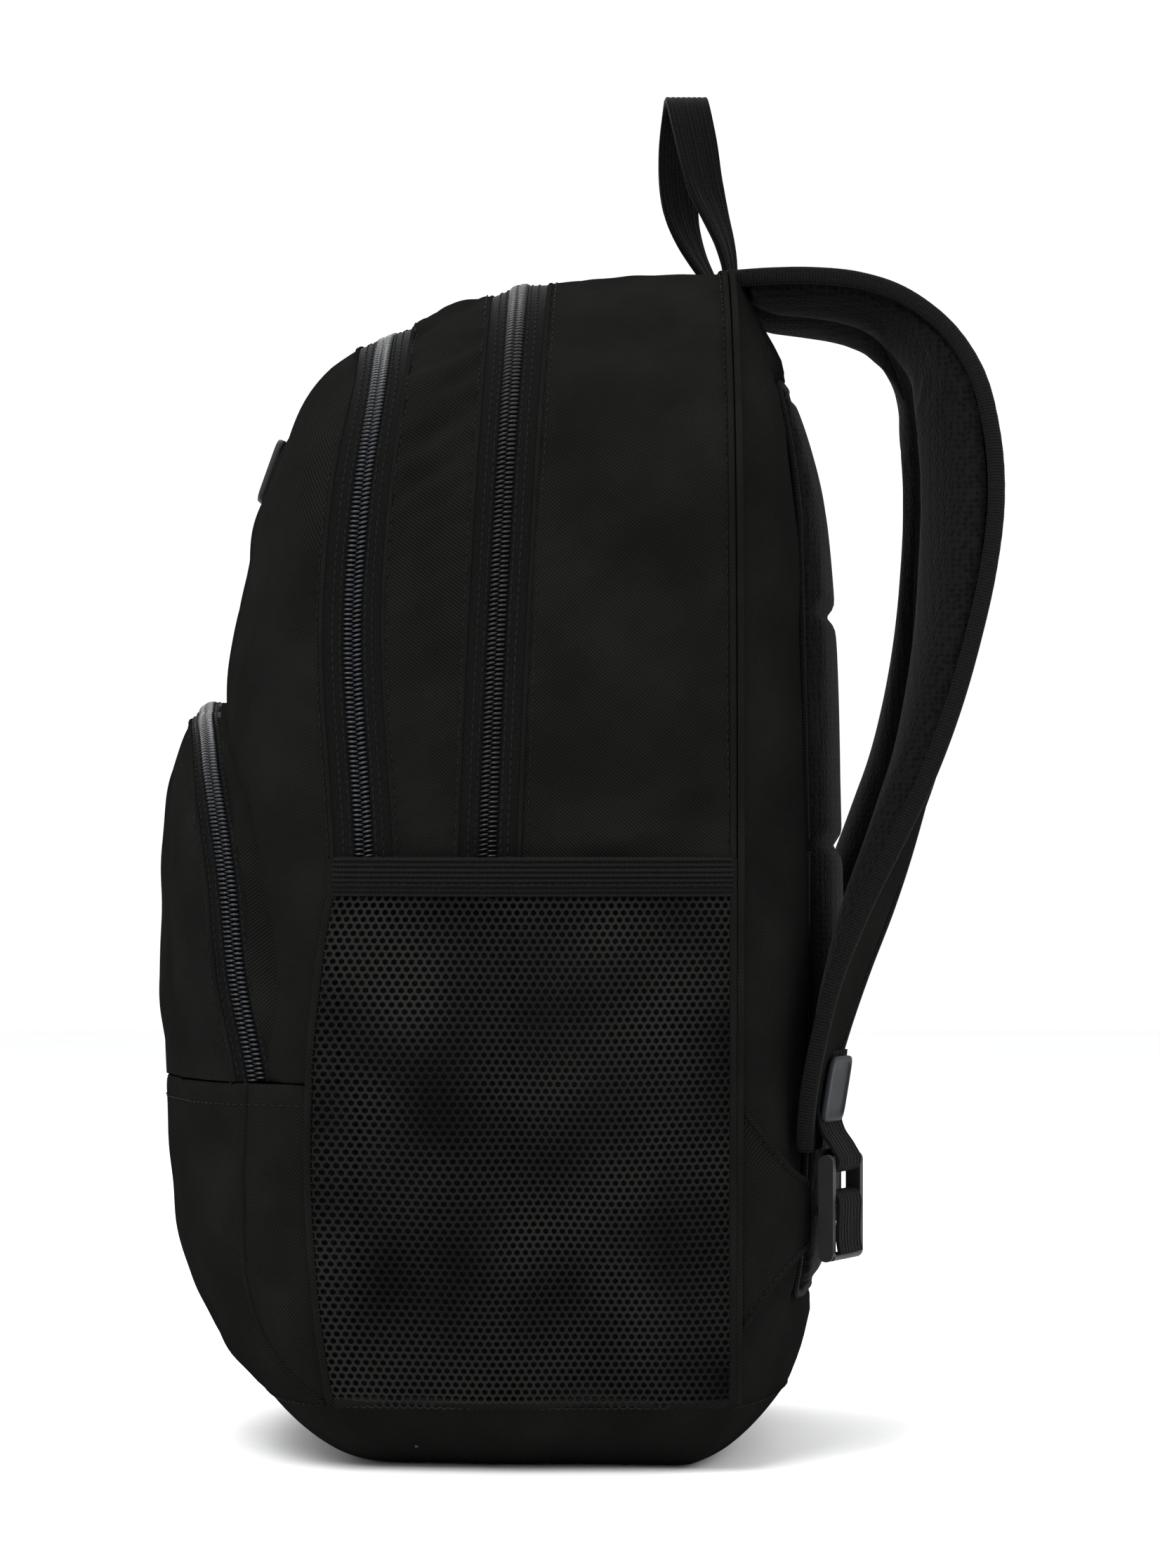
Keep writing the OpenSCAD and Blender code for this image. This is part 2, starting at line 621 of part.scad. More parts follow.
module strap_label() {
    color(slate)
        at_buckle()
            translate([0, loop_r + web_t / 2 + 2.6, 32]) cube([22, 1.2, 24], center = true);
}

// Triangle of cloth between the back seam and the lower end of the strap
wing_tip = [117, 94, 93];
wing_seam = [[148.5, back_seam_y + 3, 130], [147.5, back_seam_y + 3, 53]];
module anchor_wing_right() {
    rows = [for (k = [0:4]) let (t = k / 4)
        [for (j = [0:3])
            let (s = j / 3, edge = lerp(wing_seam[0], wing_seam[1], s),
                 tip = wing_tip + [0, 0, lerp(9, -9, s)])
            lerp(edge, tip, t) + [3, 3, 0] * sin(180 * t)]];
    color(black)
        shell(rows, -1, 1);
}
module anchor_wing_left() { mirror([1, 0, 0]) anchor_wing_right(); }

// ---- Haul loop: an upright hoop of webbing with rounded feet ----
haul_axis = [0, 56, 450];
haul_half = 37;
haul_lean = 11;
module haul_loop() {
    arc = [for (a = [0:15:180]) [haul_half * cos(a), haul_h - 24 + 24 * sin(a)]];
    path = concat([[haul_half, 0]], arc, [[-haul_half, 0]]);
    n = normals(path);
    k = len(path) - 1;
    color(black)
        translate(haul_axis)
            rotate([haul_lean, 0, 0]) {
                rotate([90, 0, 0])
                    linear_extrude(haul_w, center = true)
                        polygon(concat([for (i = [0:k]) path[i] + n[i] * web_t],
                            [for (i = [k:-1:0]) path[i] - n[i] * web_t]));
                for (side = [-1, 1])
                    translate([side * haul_half, 0, 0])
                        rotate([0, 90, 0]) cylinder(d = haul_w, h = 2 * web_t, center = true);
            }
}

back_panel();
back_foam();
laptop_sleeve();
rear_gusset();
side_panel_right();
side_panel_left();
front_pocket_panel();
front_panel_lower();
base_panel();
base_board();
mesh_pocket_right();
mesh_pocket_left();
pocket_elastic_right();
pocket_elastic_left();
main_zip_tape_rear();
main_zip_coil_rear();
anchor_wing_right();
anchor_wing_left();
strap_head_right();
strap_head_left();
divider_lower();
front_fold();
pocket_zip_tape();
pocket_zip_coil();
back_seam_piping();
mid_gusset();
front_gusset();
front_panel();
pocket_panel_upper();
main_zip_tape_front();
main_zip_coil_front();
front_zip_tape();
front_zip_coil();
divider_panel();
front_patch();
main_slider_upper();
main_slider_lower();
front_slider();
pocket_slider();
main_pull_upper();
main_pull_lower();
front_pull();
pocket_pull();
shoulder_strap_right();
shoulder_strap_left();
strap_webbing_right();
strap_webbing_left();
strap_label();
ladder_lock_right();
ladder_lock_left();
adjuster_webbing_right();
adjuster_webbing_left();
haul_loop();
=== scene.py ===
"""School backpack: the looks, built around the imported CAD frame.

Lengths in this file are in millimetres and become metres when a mesh is made.
+Z is up, the pockets face -Y and the shoulder straps face +Y.
"""
import json
import math

import bpy
import numpy as np
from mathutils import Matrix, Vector
from mathutils.bvhtree import BVHTree


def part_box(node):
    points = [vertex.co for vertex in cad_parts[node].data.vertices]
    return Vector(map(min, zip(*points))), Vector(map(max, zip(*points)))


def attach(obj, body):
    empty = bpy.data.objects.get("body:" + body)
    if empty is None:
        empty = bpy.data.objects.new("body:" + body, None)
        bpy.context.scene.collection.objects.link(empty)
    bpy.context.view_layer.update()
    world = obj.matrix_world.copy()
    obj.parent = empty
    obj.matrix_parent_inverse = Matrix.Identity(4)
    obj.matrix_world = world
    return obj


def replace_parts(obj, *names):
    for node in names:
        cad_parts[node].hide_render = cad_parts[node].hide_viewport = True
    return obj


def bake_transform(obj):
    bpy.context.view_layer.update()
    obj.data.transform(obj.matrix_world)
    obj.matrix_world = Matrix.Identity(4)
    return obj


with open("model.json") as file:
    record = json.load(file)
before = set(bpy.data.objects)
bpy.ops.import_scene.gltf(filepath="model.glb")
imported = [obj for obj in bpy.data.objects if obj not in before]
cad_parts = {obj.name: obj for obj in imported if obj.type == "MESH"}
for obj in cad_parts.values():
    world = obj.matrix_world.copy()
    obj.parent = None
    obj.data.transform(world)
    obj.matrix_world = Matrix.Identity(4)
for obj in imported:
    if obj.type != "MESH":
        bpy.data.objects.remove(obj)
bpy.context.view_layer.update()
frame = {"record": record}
MM = 0.001


# ---------------------------------------------------------------- dimensions
def node_box(node):
    """Lowest and highest corners of a CAD node, in millimetres."""
    low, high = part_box(node)
    return np.array(low) / MM, np.array(high) / MM


elastic_low, elastic_high = node_box("pocket_elastic_right")
FOLD_Z = 220.0
BASE_Z = 25.0
POCKET_ZIP_Z = 140.0
ELASTIC_Z = (elastic_low[2], elastic_high[2])
ZIP_HALF = 11.0
CROWN = 4.0
SIDE_SHARE, CORNER_SHARE = 0.6, 0.86

# Seam lines: half width, top height, corner radius, [(height, depth), ...]
BACK_SEAM = (150, 438, 80, [(0, 66), (380, 66), (438, 65)])
MAIN_SEAM = (152, 434, 85, [(0, -24), (220, -23), (350, -17.2), (434, -12)])
FRONT_SEAM = (146, 415, 80, [(0, -66), (220, -67), (310, -71), (350, -68), (390, -63), (415, -61)])
POCKET_SEAM = (130, 277, 85, [(0, -88), (25, -92), (110, -102), (140, -106), (175, -113),
                              (215, -117.5), (250, -124), (272, -129), (277, -131)])
FRONT_FACE = [(0, -96), (25, -106), (60, -114), (180, -118), (285, -121.5), (305, -118.5), (330, -113.5)]
POCKET_FACE = [(0, -88), (25, -110), (35, -120), (53, -130), (80, -138.5), (107, -143), (135, -145),
               (160, -146.5), (225, -146.5)]
BACK_FACE = [(0, 74), (19, 85), (35, 91.5), (53, 96.5), (73, 103), (110, 106), (250, 106), (290, 105),
             (318, 103.5), (344, 101), (371, 96.5), (395, 90), (408, 84), (418, 78), (428, 72), (438, 66)]


def smooth_at(z, table):
    """Depth at height z on a smooth curve through a table's points."""
    xs, ys = np.array(table, float).T
    slope = np.gradient(ys, xs)
    z = np.clip(z, xs[0], xs[-1])
    i = np.clip(np.searchsorted(xs, z, side="right") - 1, 0, len(xs) - 2)
    step = xs[i + 1] - xs[i]
    t = (z - xs[i]) / step
    return ((1 + 2 * t) * (1 - t) ** 2 * ys[i] + t * (1 - t) ** 2 * step * slope[i]
            + t * t * (3 - 2 * t) * ys[i + 1] + t * t * (t - 1) * step * slope[i + 1])


def slim(z):
    """How far the sides draw in towards the base."""
    return 5 * (np.clip(200 - z, 0, None) / 200) ** 2


def seam(line, v, z0=BASE_Z):
    """Points on a seam: v is -1 at the lower left end, 0 at the top, 1 at the lower right end."""
    half, top, radius, table = line
    v = np.asarray(v, float)
    t = 1 - np.abs(v)
    turn = top - CROWN - radius
    angle = np.radians(90) * np.clip((t - SIDE_SHARE) / (CORNER_SHARE - SIDE_SHARE), 0, 1)
    k = np.clip((1 - t) / (1 - CORNER_SHARE), 0, 1)
    on_side, on_corner = t < SIDE_SHARE, t < CORNER_SHARE
    x = np.where(on_corner, half - radius + radius * np.cos(angle), (half - radius) * k)
    z = np.where(on_side, z0 + (turn - z0) * t / SIDE_SHARE,
                 np.where(on_corner, turn + radius * np.sin(angle), top - CROWN * k * k))
    x = np.where(on_side, half, x) - slim(z)
    return np.stack([np.sign(v) * x, smooth_at(z, table), z], -1)


def unit(a):
    return a / np.maximum(np.linalg.norm(a, axis=-1, keepdims=True), 1e-9)


def ripple(points, size, seed, count=20):
    """Smooth seeded noise over points, about -1 to 1, with bumps of the given size."""
    draw = np.random.default_rng(seed)
    waves = unit(draw.normal(size=(count, 3))) * (2 * np.pi / size) * draw.uniform(0.5, 1.5, (count, 1))
    phase = draw.uniform(0, 2 * np.pi, count)
    return np.sin(points @ waves.T + phase).sum(-1) / math.sqrt(count)


def fold(points, start, end, width, height):
    """A ridge with a valley on one side, along a line that fades out at both ends."""
    start, end = np.array(start, float), np.array(end, float)
    along = end - start
    t = ((points - start) @ along) / (along @ along)
    nearest = start + np.clip(t, 0, 1)[..., None] * along
    gap = points - nearest
    far = np.linalg.norm(gap, axis=-1) / width
    side = np.sign(gap @ np.cross(along, [1, 0, 0]))
    fade = np.clip(1.15 - np.abs(2 * np.clip(t, -0.2, 1.2) - 1) ** 3, 0, 1)
    return height * fade * np.exp(-far ** 2) * (1 - 0.9 * side * far)


# ---------------------------------------------------------------- mesh making
def face_outwards(mesh):
    """Turns a closed mesh the right way out."""
    mesh.calc_loop_triangles()
    corners = np.empty(len(mesh.loop_triangles) * 3, np.int32)
    mesh.loop_triangles.foreach_get("vertices", corners)
    place = np.empty(len(mesh.vertices) * 3)
    mesh.vertices.foreach_get("co", place)
    a, b, c = place.reshape(-1, 3)[corners].reshape(-1, 3, 3).transpose(1, 0, 2)
    if (a * np.cross(b, c)).sum() < 0:
        mesh.flip_normals()


def make_mesh(name, points, faces, material, uv=None):
    mesh = bpy.data.meshes.new(name)
    mesh.from_pydata((np.asarray(points, float) * MM).tolist(), [], [tuple(map(int, f)) for f in faces])
    mesh.polygons.foreach_set("use_smooth", [True] * len(mesh.polygons))
    if uv is not None:
        layer = mesh.uv_layers.new(name="cloth")
        corner = np.empty(len(mesh.loops), np.int32)
        mesh.loops.foreach_get("vertex_index", corner)
        layer.data.foreach_set("uv", np.asarray(uv, np.float32)[corner].ravel())
    mesh.materials.append(material)
    face_outwards(mesh)
    piece = bpy.data.objects.new(name, mesh)
    bpy.context.scene.collection.objects.link(piece)
    return piece


def grid_normals(g):
    return unit(np.cross(np.gradient(g, axis=0), np.gradient(g, axis=1)))


def grid_uv(g):
    """Cloth coordinates of a grid in millimetres, measured along its rows and columns."""
    u = np.concatenate([[0], np.cumsum(np.linalg.norm(np.diff(g, axis=0), axis=-1).mean(1))])
    w = np.concatenate([[0], np.cumsum(np.linalg.norm(np.diff(g, axis=1), axis=-1).mean(0))])
    return np.stack(np.meshgrid(u, w, indexing="ij"), -1)


def quads(ni, nj, base=0, flip=False):
    i, j = np.meshgrid(np.arange(ni - 1), np.arange(nj - 1), indexing="ij")
    a = (i * nj + j).ravel() + base
    q = np.stack([a, a + 1, a + nj + 1, a + nj], -1)
    return q[:, ::-1] if flip else q


def sheet(name, g, material, thickness=1.2, outward=None):
    """A closed sheet of cloth whose outer face is the grid g, with its rim folded over."""
    n = grid_normals(g)
    if outward is None:
        outward = g - np.array([0, 0, 200])
    flip = (n * outward).sum() < 0
    n = -n if flip else n
    ni, nj = g.shape[:2]
    inner = g - n * thickness
    points = np.concatenate([g.reshape(-1, 3), inner.reshape(-1, 3)])
    total = ni * nj
    rim = np.concatenate([np.arange(nj), np.arange(1, ni) * nj + nj - 1,
                          (ni - 1) * nj + np.arange(nj - 2, -1, -1), np.arange(ni - 2, 0, -1) * nj])
    after = np.roll(rim, -1)
    edge = np.stack([rim, rim + total, after + total, after], -1)
    faces = np.concatenate([quads(ni, nj, 0, flip), quads(ni, nj, total, not flip),
                            edge if not flip else edge[:, ::-1]])
    uv = np.tile(grid_uv(g).reshape(-1, 2), (2, 1))
    return make_mesh(name, points, faces, material, uv)


def frames_along(path, up):
    """Tangent, side and normal at each point of a path; up is the wanted normal."""
    tangent = unit(np.gradient(path, axis=0))
    side = unit(np.cross(up, tangent))
    return tangent, side, np.cross(tangent, side)


def sweep(name, path, section, material, up=(0, 0, 1), scale=None, closed=False):
    """A tube whose section, given as (side, normal) points, follows a path."""
    path = np.asarray(path, float)
    up = np.broadcast_to(np.asarray(up, float), path.shape)
    _, side, normal = frames_along(path, up)
    section = np.asarray(section, float)
    scale = np.ones((len(path), 2)) if scale is None else np.asarray(scale, float)
    rings = (path[:, None] + side[:, None] * (section[None, :, :1] * scale[:, None, :1])
             + normal[:, None] * (section[None, :, 1:] * scale[:, None, 1:]))
    return ring_mesh(name, rings, material, closed)


def ring_mesh(name, rings, material, closed=False):
    """A tube through rings of points, with its ends filled unless it is closed on itself."""
    n, k = rings.shape[:2]
    i, j = np.meshgrid(np.arange(n if closed else n - 1), np.arange(k), indexing="ij")
    i, j = i.ravel(), j.ravel()
    nxt, jn = (i + 1) % n, (j + 1) % k
    faces = np.stack([i * k + j, i * k + jn, nxt * k + jn, nxt * k + j], -1).tolist()
    if not closed:
        faces += [list(range(k))[::-1], [(n - 1) * k + m for m in range(k)]]
    length = np.concatenate([[0], np.cumsum(np.linalg.norm(np.diff(rings.mean(1), axis=0), axis=-1))])
    round_it = np.concatenate([[0], np.cumsum(np.linalg.norm(np.diff(rings[n // 2], axis=0), axis=-1))])
    uv = np.stack(np.meshgrid(length, round_it, indexing="ij"), -1).reshape(-1, 2)
    return make_mesh(name, rings.reshape(-1, 3), faces, material, uv)


def oval(width, height, count=12, power=2.0):
    a = np.arange(count) * 2 * np.pi / count
    c, s = np.cos(a), np.sin(a)
    return np.stack([np.sign(c) * np.abs(c) ** (2 / power) * width / 2,
                     np.sign(s) * np.abs(s) ** (2 / power) * height / 2], -1)


def resample(path, step):
    """Evenly spaced points along a path, about step apart."""
    path = np.asarray(path, float)
    run = np.concatenate([[0], np.cumsum(np.linalg.norm(np.diff(path, axis=0), axis=-1))])
    at = np.linspace(0, run[-1], max(2, int(round(run[-1] / step)) + 1))
    return np.stack([np.interp(at, run, path[:, k]) for k in range(path.shape[1])], -1)


def copies(name, shape, places, material):
    """Many copies of a small closed shape in one mesh: shape is (points, faces), places (origin, 3 axes)."""
    points, faces = shape
    origin, axes = places
    all_points = origin[:, None] + np.einsum("pk,nkc->npc", points, axes)
    shift = (np.arange(len(origin)) * len(points))[:, None]
    all_faces = []
    for f in faces:
        all_faces += (np.array(f)[None] + shift).tolist()
    return make_mesh(name, all_points.reshape(-1, 3), all_faces, material)


def capsule(length, width, height, count=6, rings=4):
    """A small rounded bar along its first axis, as points and faces."""
    t = np.linspace(-1, 1, rings)
    fat = np.sqrt(np.clip(1 - np.abs(t) ** 3, 0.12, 1))
    a = np.arange(count) * 2 * np.pi / count
    points = np.stack([np.repeat(t * length / 2, count),
                       (fat[:, None] * np.cos(a)[None] * width / 2).ravel(),
                       (fat[:, None] * np.sin(a)[None] * height / 2).ravel()], -1)
    faces = [[i * count + j, i * count + (j + 1) % count, (i + 1) * count + (j + 1) % count,
              (i + 1) * count + j]
             for i in range(rings - 1) for j in range(count)]
    faces += [list(range(count))[::-1], [(rings - 1) * count + j for j in range(count)]]
    return points, faces


def along_places(path, normal):
    """Origin and axes (along, across, out) at each point of a path."""
    tangent = unit(np.gradient(path, axis=0))
    across = unit(np.cross(normal, tangent))
    out = np.cross(tangent, across)
    return path, np.stack([tangent, across, out], 1)


STITCH = capsule(2.5, 0.62, 0.5, 6, 4)


def stitches(name, path, normal, material, pitch=3.3):
    """A row of thread stitches lying on a surface along a path."""
    joined = np.concatenate([np.asarray(path, float), np.asarray(normal, float)], -1)
    run = np.concatenate([[0], np.cumsum(np.linalg.norm(np.diff(joined[:, :3], axis=0), axis=-1))])
    at = np.arange(pitch / 2, run[-1], pitch)
    found = np.stack([np.interp(at, run, joined[:, k]) for k in range(6)], -1)
    return copies(name, STITCH, along_places(found[:, :3], unit(found[:, 3:])), material)


# ---------------------------------------------------------------- materials
class Nodes:
    """Small helper around one material's node tree, with a Principled shader at its end."""

    def __init__(self, name, roughness, sheen=0.0, sheen_roughness=0.5, specular=0.4, metallic=0.0, coat=0.0):
        self.material = bpy.data.materials.new(name)
        self.material.use_nodes = True
        self.tree = self.material.node_tree
        self.tree.nodes.clear()
        output = self.tree.nodes.new("ShaderNodeOutputMaterial")
        self.shader = self.tree.nodes.new("ShaderNodeBsdfPrincipled")
        self.tree.links.new(self.shader.outputs[0], output.inputs[0])
        for socket, value in (("Roughness", roughness), ("Sheen Weight", sheen),
                              ("Sheen Roughness", sheen_roughness), ("Specular IOR Level", specular),
                              ("Metallic", metallic), ("Coat Weight", coat)):
            self.shader.inputs[socket].default_value = value

    def link(self, source, target):
        self.tree.links.new(source, target)

    def place(self, uv):
        """Coordinates in millimetres, along the cloth or in the object's own space."""
        coordinates = self.tree.nodes.new("ShaderNodeTexCoord")
        if uv:
            return coordinates.outputs["UV"]
        scale = self.tree.nodes.new("ShaderNodeVectorMath")
        scale.operation = "SCALE"
        scale.inputs["Scale"].default_value = 1 / MM
        self.link(coordinates.outputs["Object"], scale.inputs[0])
        return scale.outputs[0]

    def parts(self, vector):
        split = self.tree.nodes.new("ShaderNodeSeparateXYZ")
        self.link(vector, split.inputs[0])
        return split.outputs

    def math(self, operation, a, b=0.0, clamp=False):
        node = self.tree.nodes.new("ShaderNodeMath")
        node.operation = operation
        node.use_clamp = clamp
        for socket, value in zip(node.inputs, (a, b)):
            if isinstance(value, (int, float)):
                socket.default_value = value
            else:
                self.link(value, socket)
        return node.outputs[0]

    def noise(self, vector, size, detail=3.0):
        """Noise from 0 to 1 whose features are about size millimetres across."""
        node = self.tree.nodes.new("ShaderNodeTexNoise")
        node.inputs["Scale"].default_value = 1 / size
        node.inputs["Detail"].default_value = detail
        self.link(vector, node.inputs["Vector"])
        return node.outputs[0]

    def cells(self, vector, size, feature="F1", randomness=0.0):
        node = self.tree.nodes.new("ShaderNodeTexVoronoi")
        node.feature = feature
        node.inputs["Scale"].default_value = 1 / size
        node.inputs["Randomness"].default_value = randomness
        self.link(vector, node.inputs["Vector"])
        return node.outputs["Distance"]

    def wave(self, value, pitch):
        return self.math("SINE", self.math("MULTIPLY", value, 2 * math.pi / pitch))

    def colour(self, factor, dark, light, low=0.3, high=0.7):
        ramp = self.tree.nodes.new("ShaderNodeValToRGB")
        ramp.color_ramp.elements[0].position = low
        ramp.color_ramp.elements[1].position = high
        ramp.color_ramp.elements[0].color = (*dark, 1)
        ramp.color_ramp.elements[1].color = (*light, 1)
        self.link(factor, ramp.inputs[0])
        self.link(ramp.outputs[0], self.shader.inputs["Base Color"])

    def roughness(self, factor, low, high):
        spread = self.math("ADD", self.math("MULTIPLY", factor, high - low), low, clamp=True)
        self.link(spread, self.shader.inputs["Roughness"])

    def bump(self, height, distance, strength=1.0):
        node = self.tree.nodes.new("ShaderNodeBump")
        node.inputs["Strength"].default_value = strength
        node.inputs["Distance"].default_value = distance * MM
        self.link(height, node.inputs["Height"])
        self.link(node.outputs[0], self.shader.inputs["Normal"])


def woven(name, dark, light, pitch, depth, sheen=0.2, twill=True, uv=True, roughness=(0.72, 0.92)):
    """Woven cloth: over-and-under threads, slubs, and a slow change of tone."""
    n = Nodes(name, 0.85, sheen, 0.45, 0.0)
    at = n.place(uv)
    x, y, z = n.parts(at)
    if not uv:
        x, y = n.math("ADD", x, z), n.math("SUBTRACT", y, z)
    if twill:
        diagonal = n.wave(n.math("ADD", x, y), pitch * 1.4)
        threads = n.math("MULTIPLY", n.wave(n.math("SUBTRACT", x, y), pitch * 0.7), 0.45)
        weave = n.math("ADD", diagonal, threads)
    else:
        weave = n.math("MULTIPLY", n.wave(x, pitch), n.wave(y, pitch))
    grain = n.noise(at, 0.6, 2)
    tone = n.noise(at, 38, 4)
    height = n.math("ADD", n.math("MULTIPLY", weave, 0.5), n.math("MULTIPLY", grain, 0.9))
    n.bump(height, depth)
    mixed = n.math("ADD", n.math("MULTIPLY", tone, 0.6),
                   n.math("MULTIPLY", n.math("ADD", weave, grain), 0.16))
    n.colour(mixed, dark, light, 0.2, 0.75)
    n.roughness(tone, *roughness)
    return n.material


def spacer_mesh(name, dark, light, size, uv):
    """Padded air mesh: a knitted face with a regular field of small dimples."""
    n = Nodes(name, 0.95, 0.02, 0.5, 0.03)
    at = n.place(uv)
    dimple = n.cells(at, size, randomness=0.45)
    hole = n.math("SMOOTH_MIN", dimple, 0.45)
    grain = n.noise(at, 0.7, 2)
    n.bump(n.math("ADD", hole, n.math("MULTIPLY", grain, 0.25)), 1.1)
    n.colour(n.math("ADD", n.math("MULTIPLY", dimple, 1.1), n.math("MULTIPLY", grain, 0.2)),
             dark, light, 0.25, 0.8)
    return n.material


def ribbed(name, dark, light, pitch, depth, sheen=0.15, across=False, uv=True, contrast=0.2):
    """Webbing or elastic: ribs with fine cross threads."""
    n = Nodes(name, 0.7, sheen, 0.4, 0.02)
    at = n.place(uv)
    x, y, z = n.parts(at)
    if not uv:
        y = n.math("ADD", y, z)
    rib, thread = (x, y) if across else (y, x)
    weave = n.math("ADD", n.wave(rib, pitch), n.math("MULTIPLY", n.wave(thread, 0.9), 0.5))
    grain = n.noise(at, 1.2, 3)
    n.bump(n.math("ADD", weave, grain), depth)
    n.colour(n.math("ADD", n.math("MULTIPLY", weave, contrast), grain), dark, light, 0.15, 0.85)
    n.roughness(grain, 0.55, 0.8)
    return n.material


def netted(name, dark, light):
    """Knitted net yarn, with slow changes of tone that are painted light and shade, standing in for the
    shading of the pocket's folds.
    """
    n = Nodes(name, 0.7, 0.01, 0.4, 0.03)
    at = n.place(False)
    yarn = n.noise(at, 0.6, 2)
    # painted light and shade: this slow noise lightens and darkens the net's colour in place of the light
    # falling on its folds
    slow = n.noise(at, 52, 1.5)
    n.bump(yarn, 0.08)
    n.colour(n.math("ADD", n.math("MULTIPLY", slow, 0.85), n.math("MULTIPLY", yarn, 0.15)),
             dark, light, 0.36, 0.62)
    n.roughness(yarn, 0.55, 0.8)
    return n.material


def moulded(name, dark, light, roughness, grain_size=0.5, depth=0.03, metallic=0.0, coat=0.0, specular=0.2):
    """Moulded plastic, rubber or lacquered metal, with a fine grain and handling wear."""
    n = Nodes(name, roughness[0], 0, 0.5, specular, metallic, coat)
    at = n.place(False)
    grain = n.noise(at, grain_size, 3)
    wear = n.noise(at, 9, 5)
    n.bump(n.math("ADD", grain, n.math("MULTIPLY", wear, 0.6)), depth)
    n.colour(n.math("ADD", n.math("MULTIPLY", grain, 0.3), n.math("MULTIPLY", wear, 0.7)), dark, light)
    n.roughness(wear, *roughness)
    return n.material


def grey(value, blue=1.0):
    return (value, value, value * blue)


CLOTH = woven("black_cloth", grey(0.0034, 0.94), grey(0.0112, 0.94), 0.95, 0.3, sheen=0.006)
STRAP_CLOTH = woven("strap_cloth", grey(0.0030, 0.94), grey(0.0092, 0.94), 1.3, 0.3, sheen=0.006)
BASE_CLOTH = woven("base_cloth", grey(0.0034, 0.94), grey(0.0100, 0.94), 1.1, 0.28, sheen=0.006, twill=False)
LINING = woven("lining_cloth", grey(0.035, 1.05), grey(0.055, 1.05), 0.7, 0.08, sheen=0.1, twill=False)
PAD_MESH = spacer_mesh("pad_mesh", grey(0.0014), grey(0.0042), 2.2, False)
POCKET_MESH = netted("pocket_mesh", grey(0.0012, 0.96), grey(0.0074, 0.96))
ELASTIC = ribbed("elastic", grey(0.0018, 0.96), grey(0.0075, 0.96), 2.1, 0.35,
                 sheen=0.01, across=True, contrast=0.5)
WEBBING = ribbed("webbing", grey(0.0010), grey(0.0040), 1.5, 0.16, sheen=0.012)
TAPE = ribbed("zip_tape", grey(0.0018, 0.96), grey(0.0046, 0.96), 0.8, 0.10, sheen=0.01)
BINDING = ribbed("binding", grey(0.0026, 0.96), grey(0.0066, 0.96), 1.1, 0.2, sheen=0.012, across=True)
THREAD = ribbed("thread", grey(0.0040), grey(0.0090), 0.4, 0.05, sheen=0.02, uv=False)
BLACK_COIL = moulded("black_coil", grey(0.0025), grey(0.0060), (0.26, 0.40), 0.8, 0.02)
GREY_COIL = moulded("grey_coil", (0.0026, 0.0037, 0.0050), (0.0062, 0.0080, 0.0102), (0.22, 0.36),
                    0.8, 0.02, specular=0.3)
PLASTIC = moulded("buckle_plastic", grey(0.0022), grey(0.0046), (0.38, 0.52), 0.35, 0.03, specular=0.12)
RUBBER = moulded("label_rubber", (0.0030, 0.0042, 0.0054), (0.0056, 0.0074, 0.0092), (0.5, 0.65),
                 0.6, 0.04, specular=0.12)
PATCH = moulded("patch_rubber", grey(0.0065), grey(0.0125), (0.6, 0.75), 0.6, 0.05)
LACQUER = moulded("slider_metal", grey(0.018), grey(0.035), (0.26, 0.42), 0.4, 0.015, metallic=0.6)
STIFFENER = moulded("base_stiffener", grey(0.05), grey(0.07), (0.6, 0.75), 1.5, 0.06)

for slot_name, finish in (("slider_metal", LACQUER), ("buckle_plastic", PLASTIC),
                          ("base_stiffener", STIFFENER),
                          ("label_rubber", RUBBER), ("foam", STIFFENER), ("lining_cloth", LINING)):
    for part in frame["record"]["subparts"]:
        node = bpy.data.objects.get(part["node"])
        if node is not None and part["material_slot"] == slot_name:
            for material_slot in node.material_slots:
                material_slot.material = finish


# ---------------------------------------------------------------- camera, floor and light
def aim(thing, target):
    thing.rotation_euler = (Vector(target) - thing.location).to_track_quat("-Z", "Y").to_euler()


camera_data = bpy.data.cameras.new("camera")
camera_data.lens = 147
camera_data.sensor_width = 36
camera = bpy.data.objects.new("camera", camera_data)
bpy.context.scene.collection.objects.link(camera)
camera.location = (2.43, 0.010, 0.247)
aim(camera, (0, 0.010, 0.247))
bpy.context.scene.camera = camera


def area_light(name, at, target, size, watts, shade=(1, 1, 1)):
    data = bpy.data.lights.new(name, "AREA")
    data.size = size
    data.energy = watts
    data.color = shade
    light = bpy.data.objects.new(name, data)
    bpy.context.scene.collection.objects.link(light)
    light.location = at
    aim(light, target)


area_light("key", (1.7, -0.6, 1.6), (0, 0, 0.22), 1.0, 54)
area_light("fill", (1.5, 1.5, 0.9), (0, 0, 0.22), 1.4, 15)
area_light("far_side", (-1.5, -0.6, 1.2), (0, 0, 0.22), 1.4, 16)
area_light("behind", (-0.8, 1.6, 1.2), (0, 0, 0.22), 1.2, 9)
area_light("top", (0.1, 0, 1.7), (0, 0, 0.3), 1.2, 10)

bpy.context.scene.view_settings.view_transform = "Standard"

world = bpy.data.worlds.new("studio")
bpy.context.scene.world = world
world.use_nodes = True
world.node_tree.nodes["Background"].inputs[0].default_value = (0.97, 0.975, 0.98, 1)
world.node_tree.nodes["Background"].inputs[1].default_value = 1.08

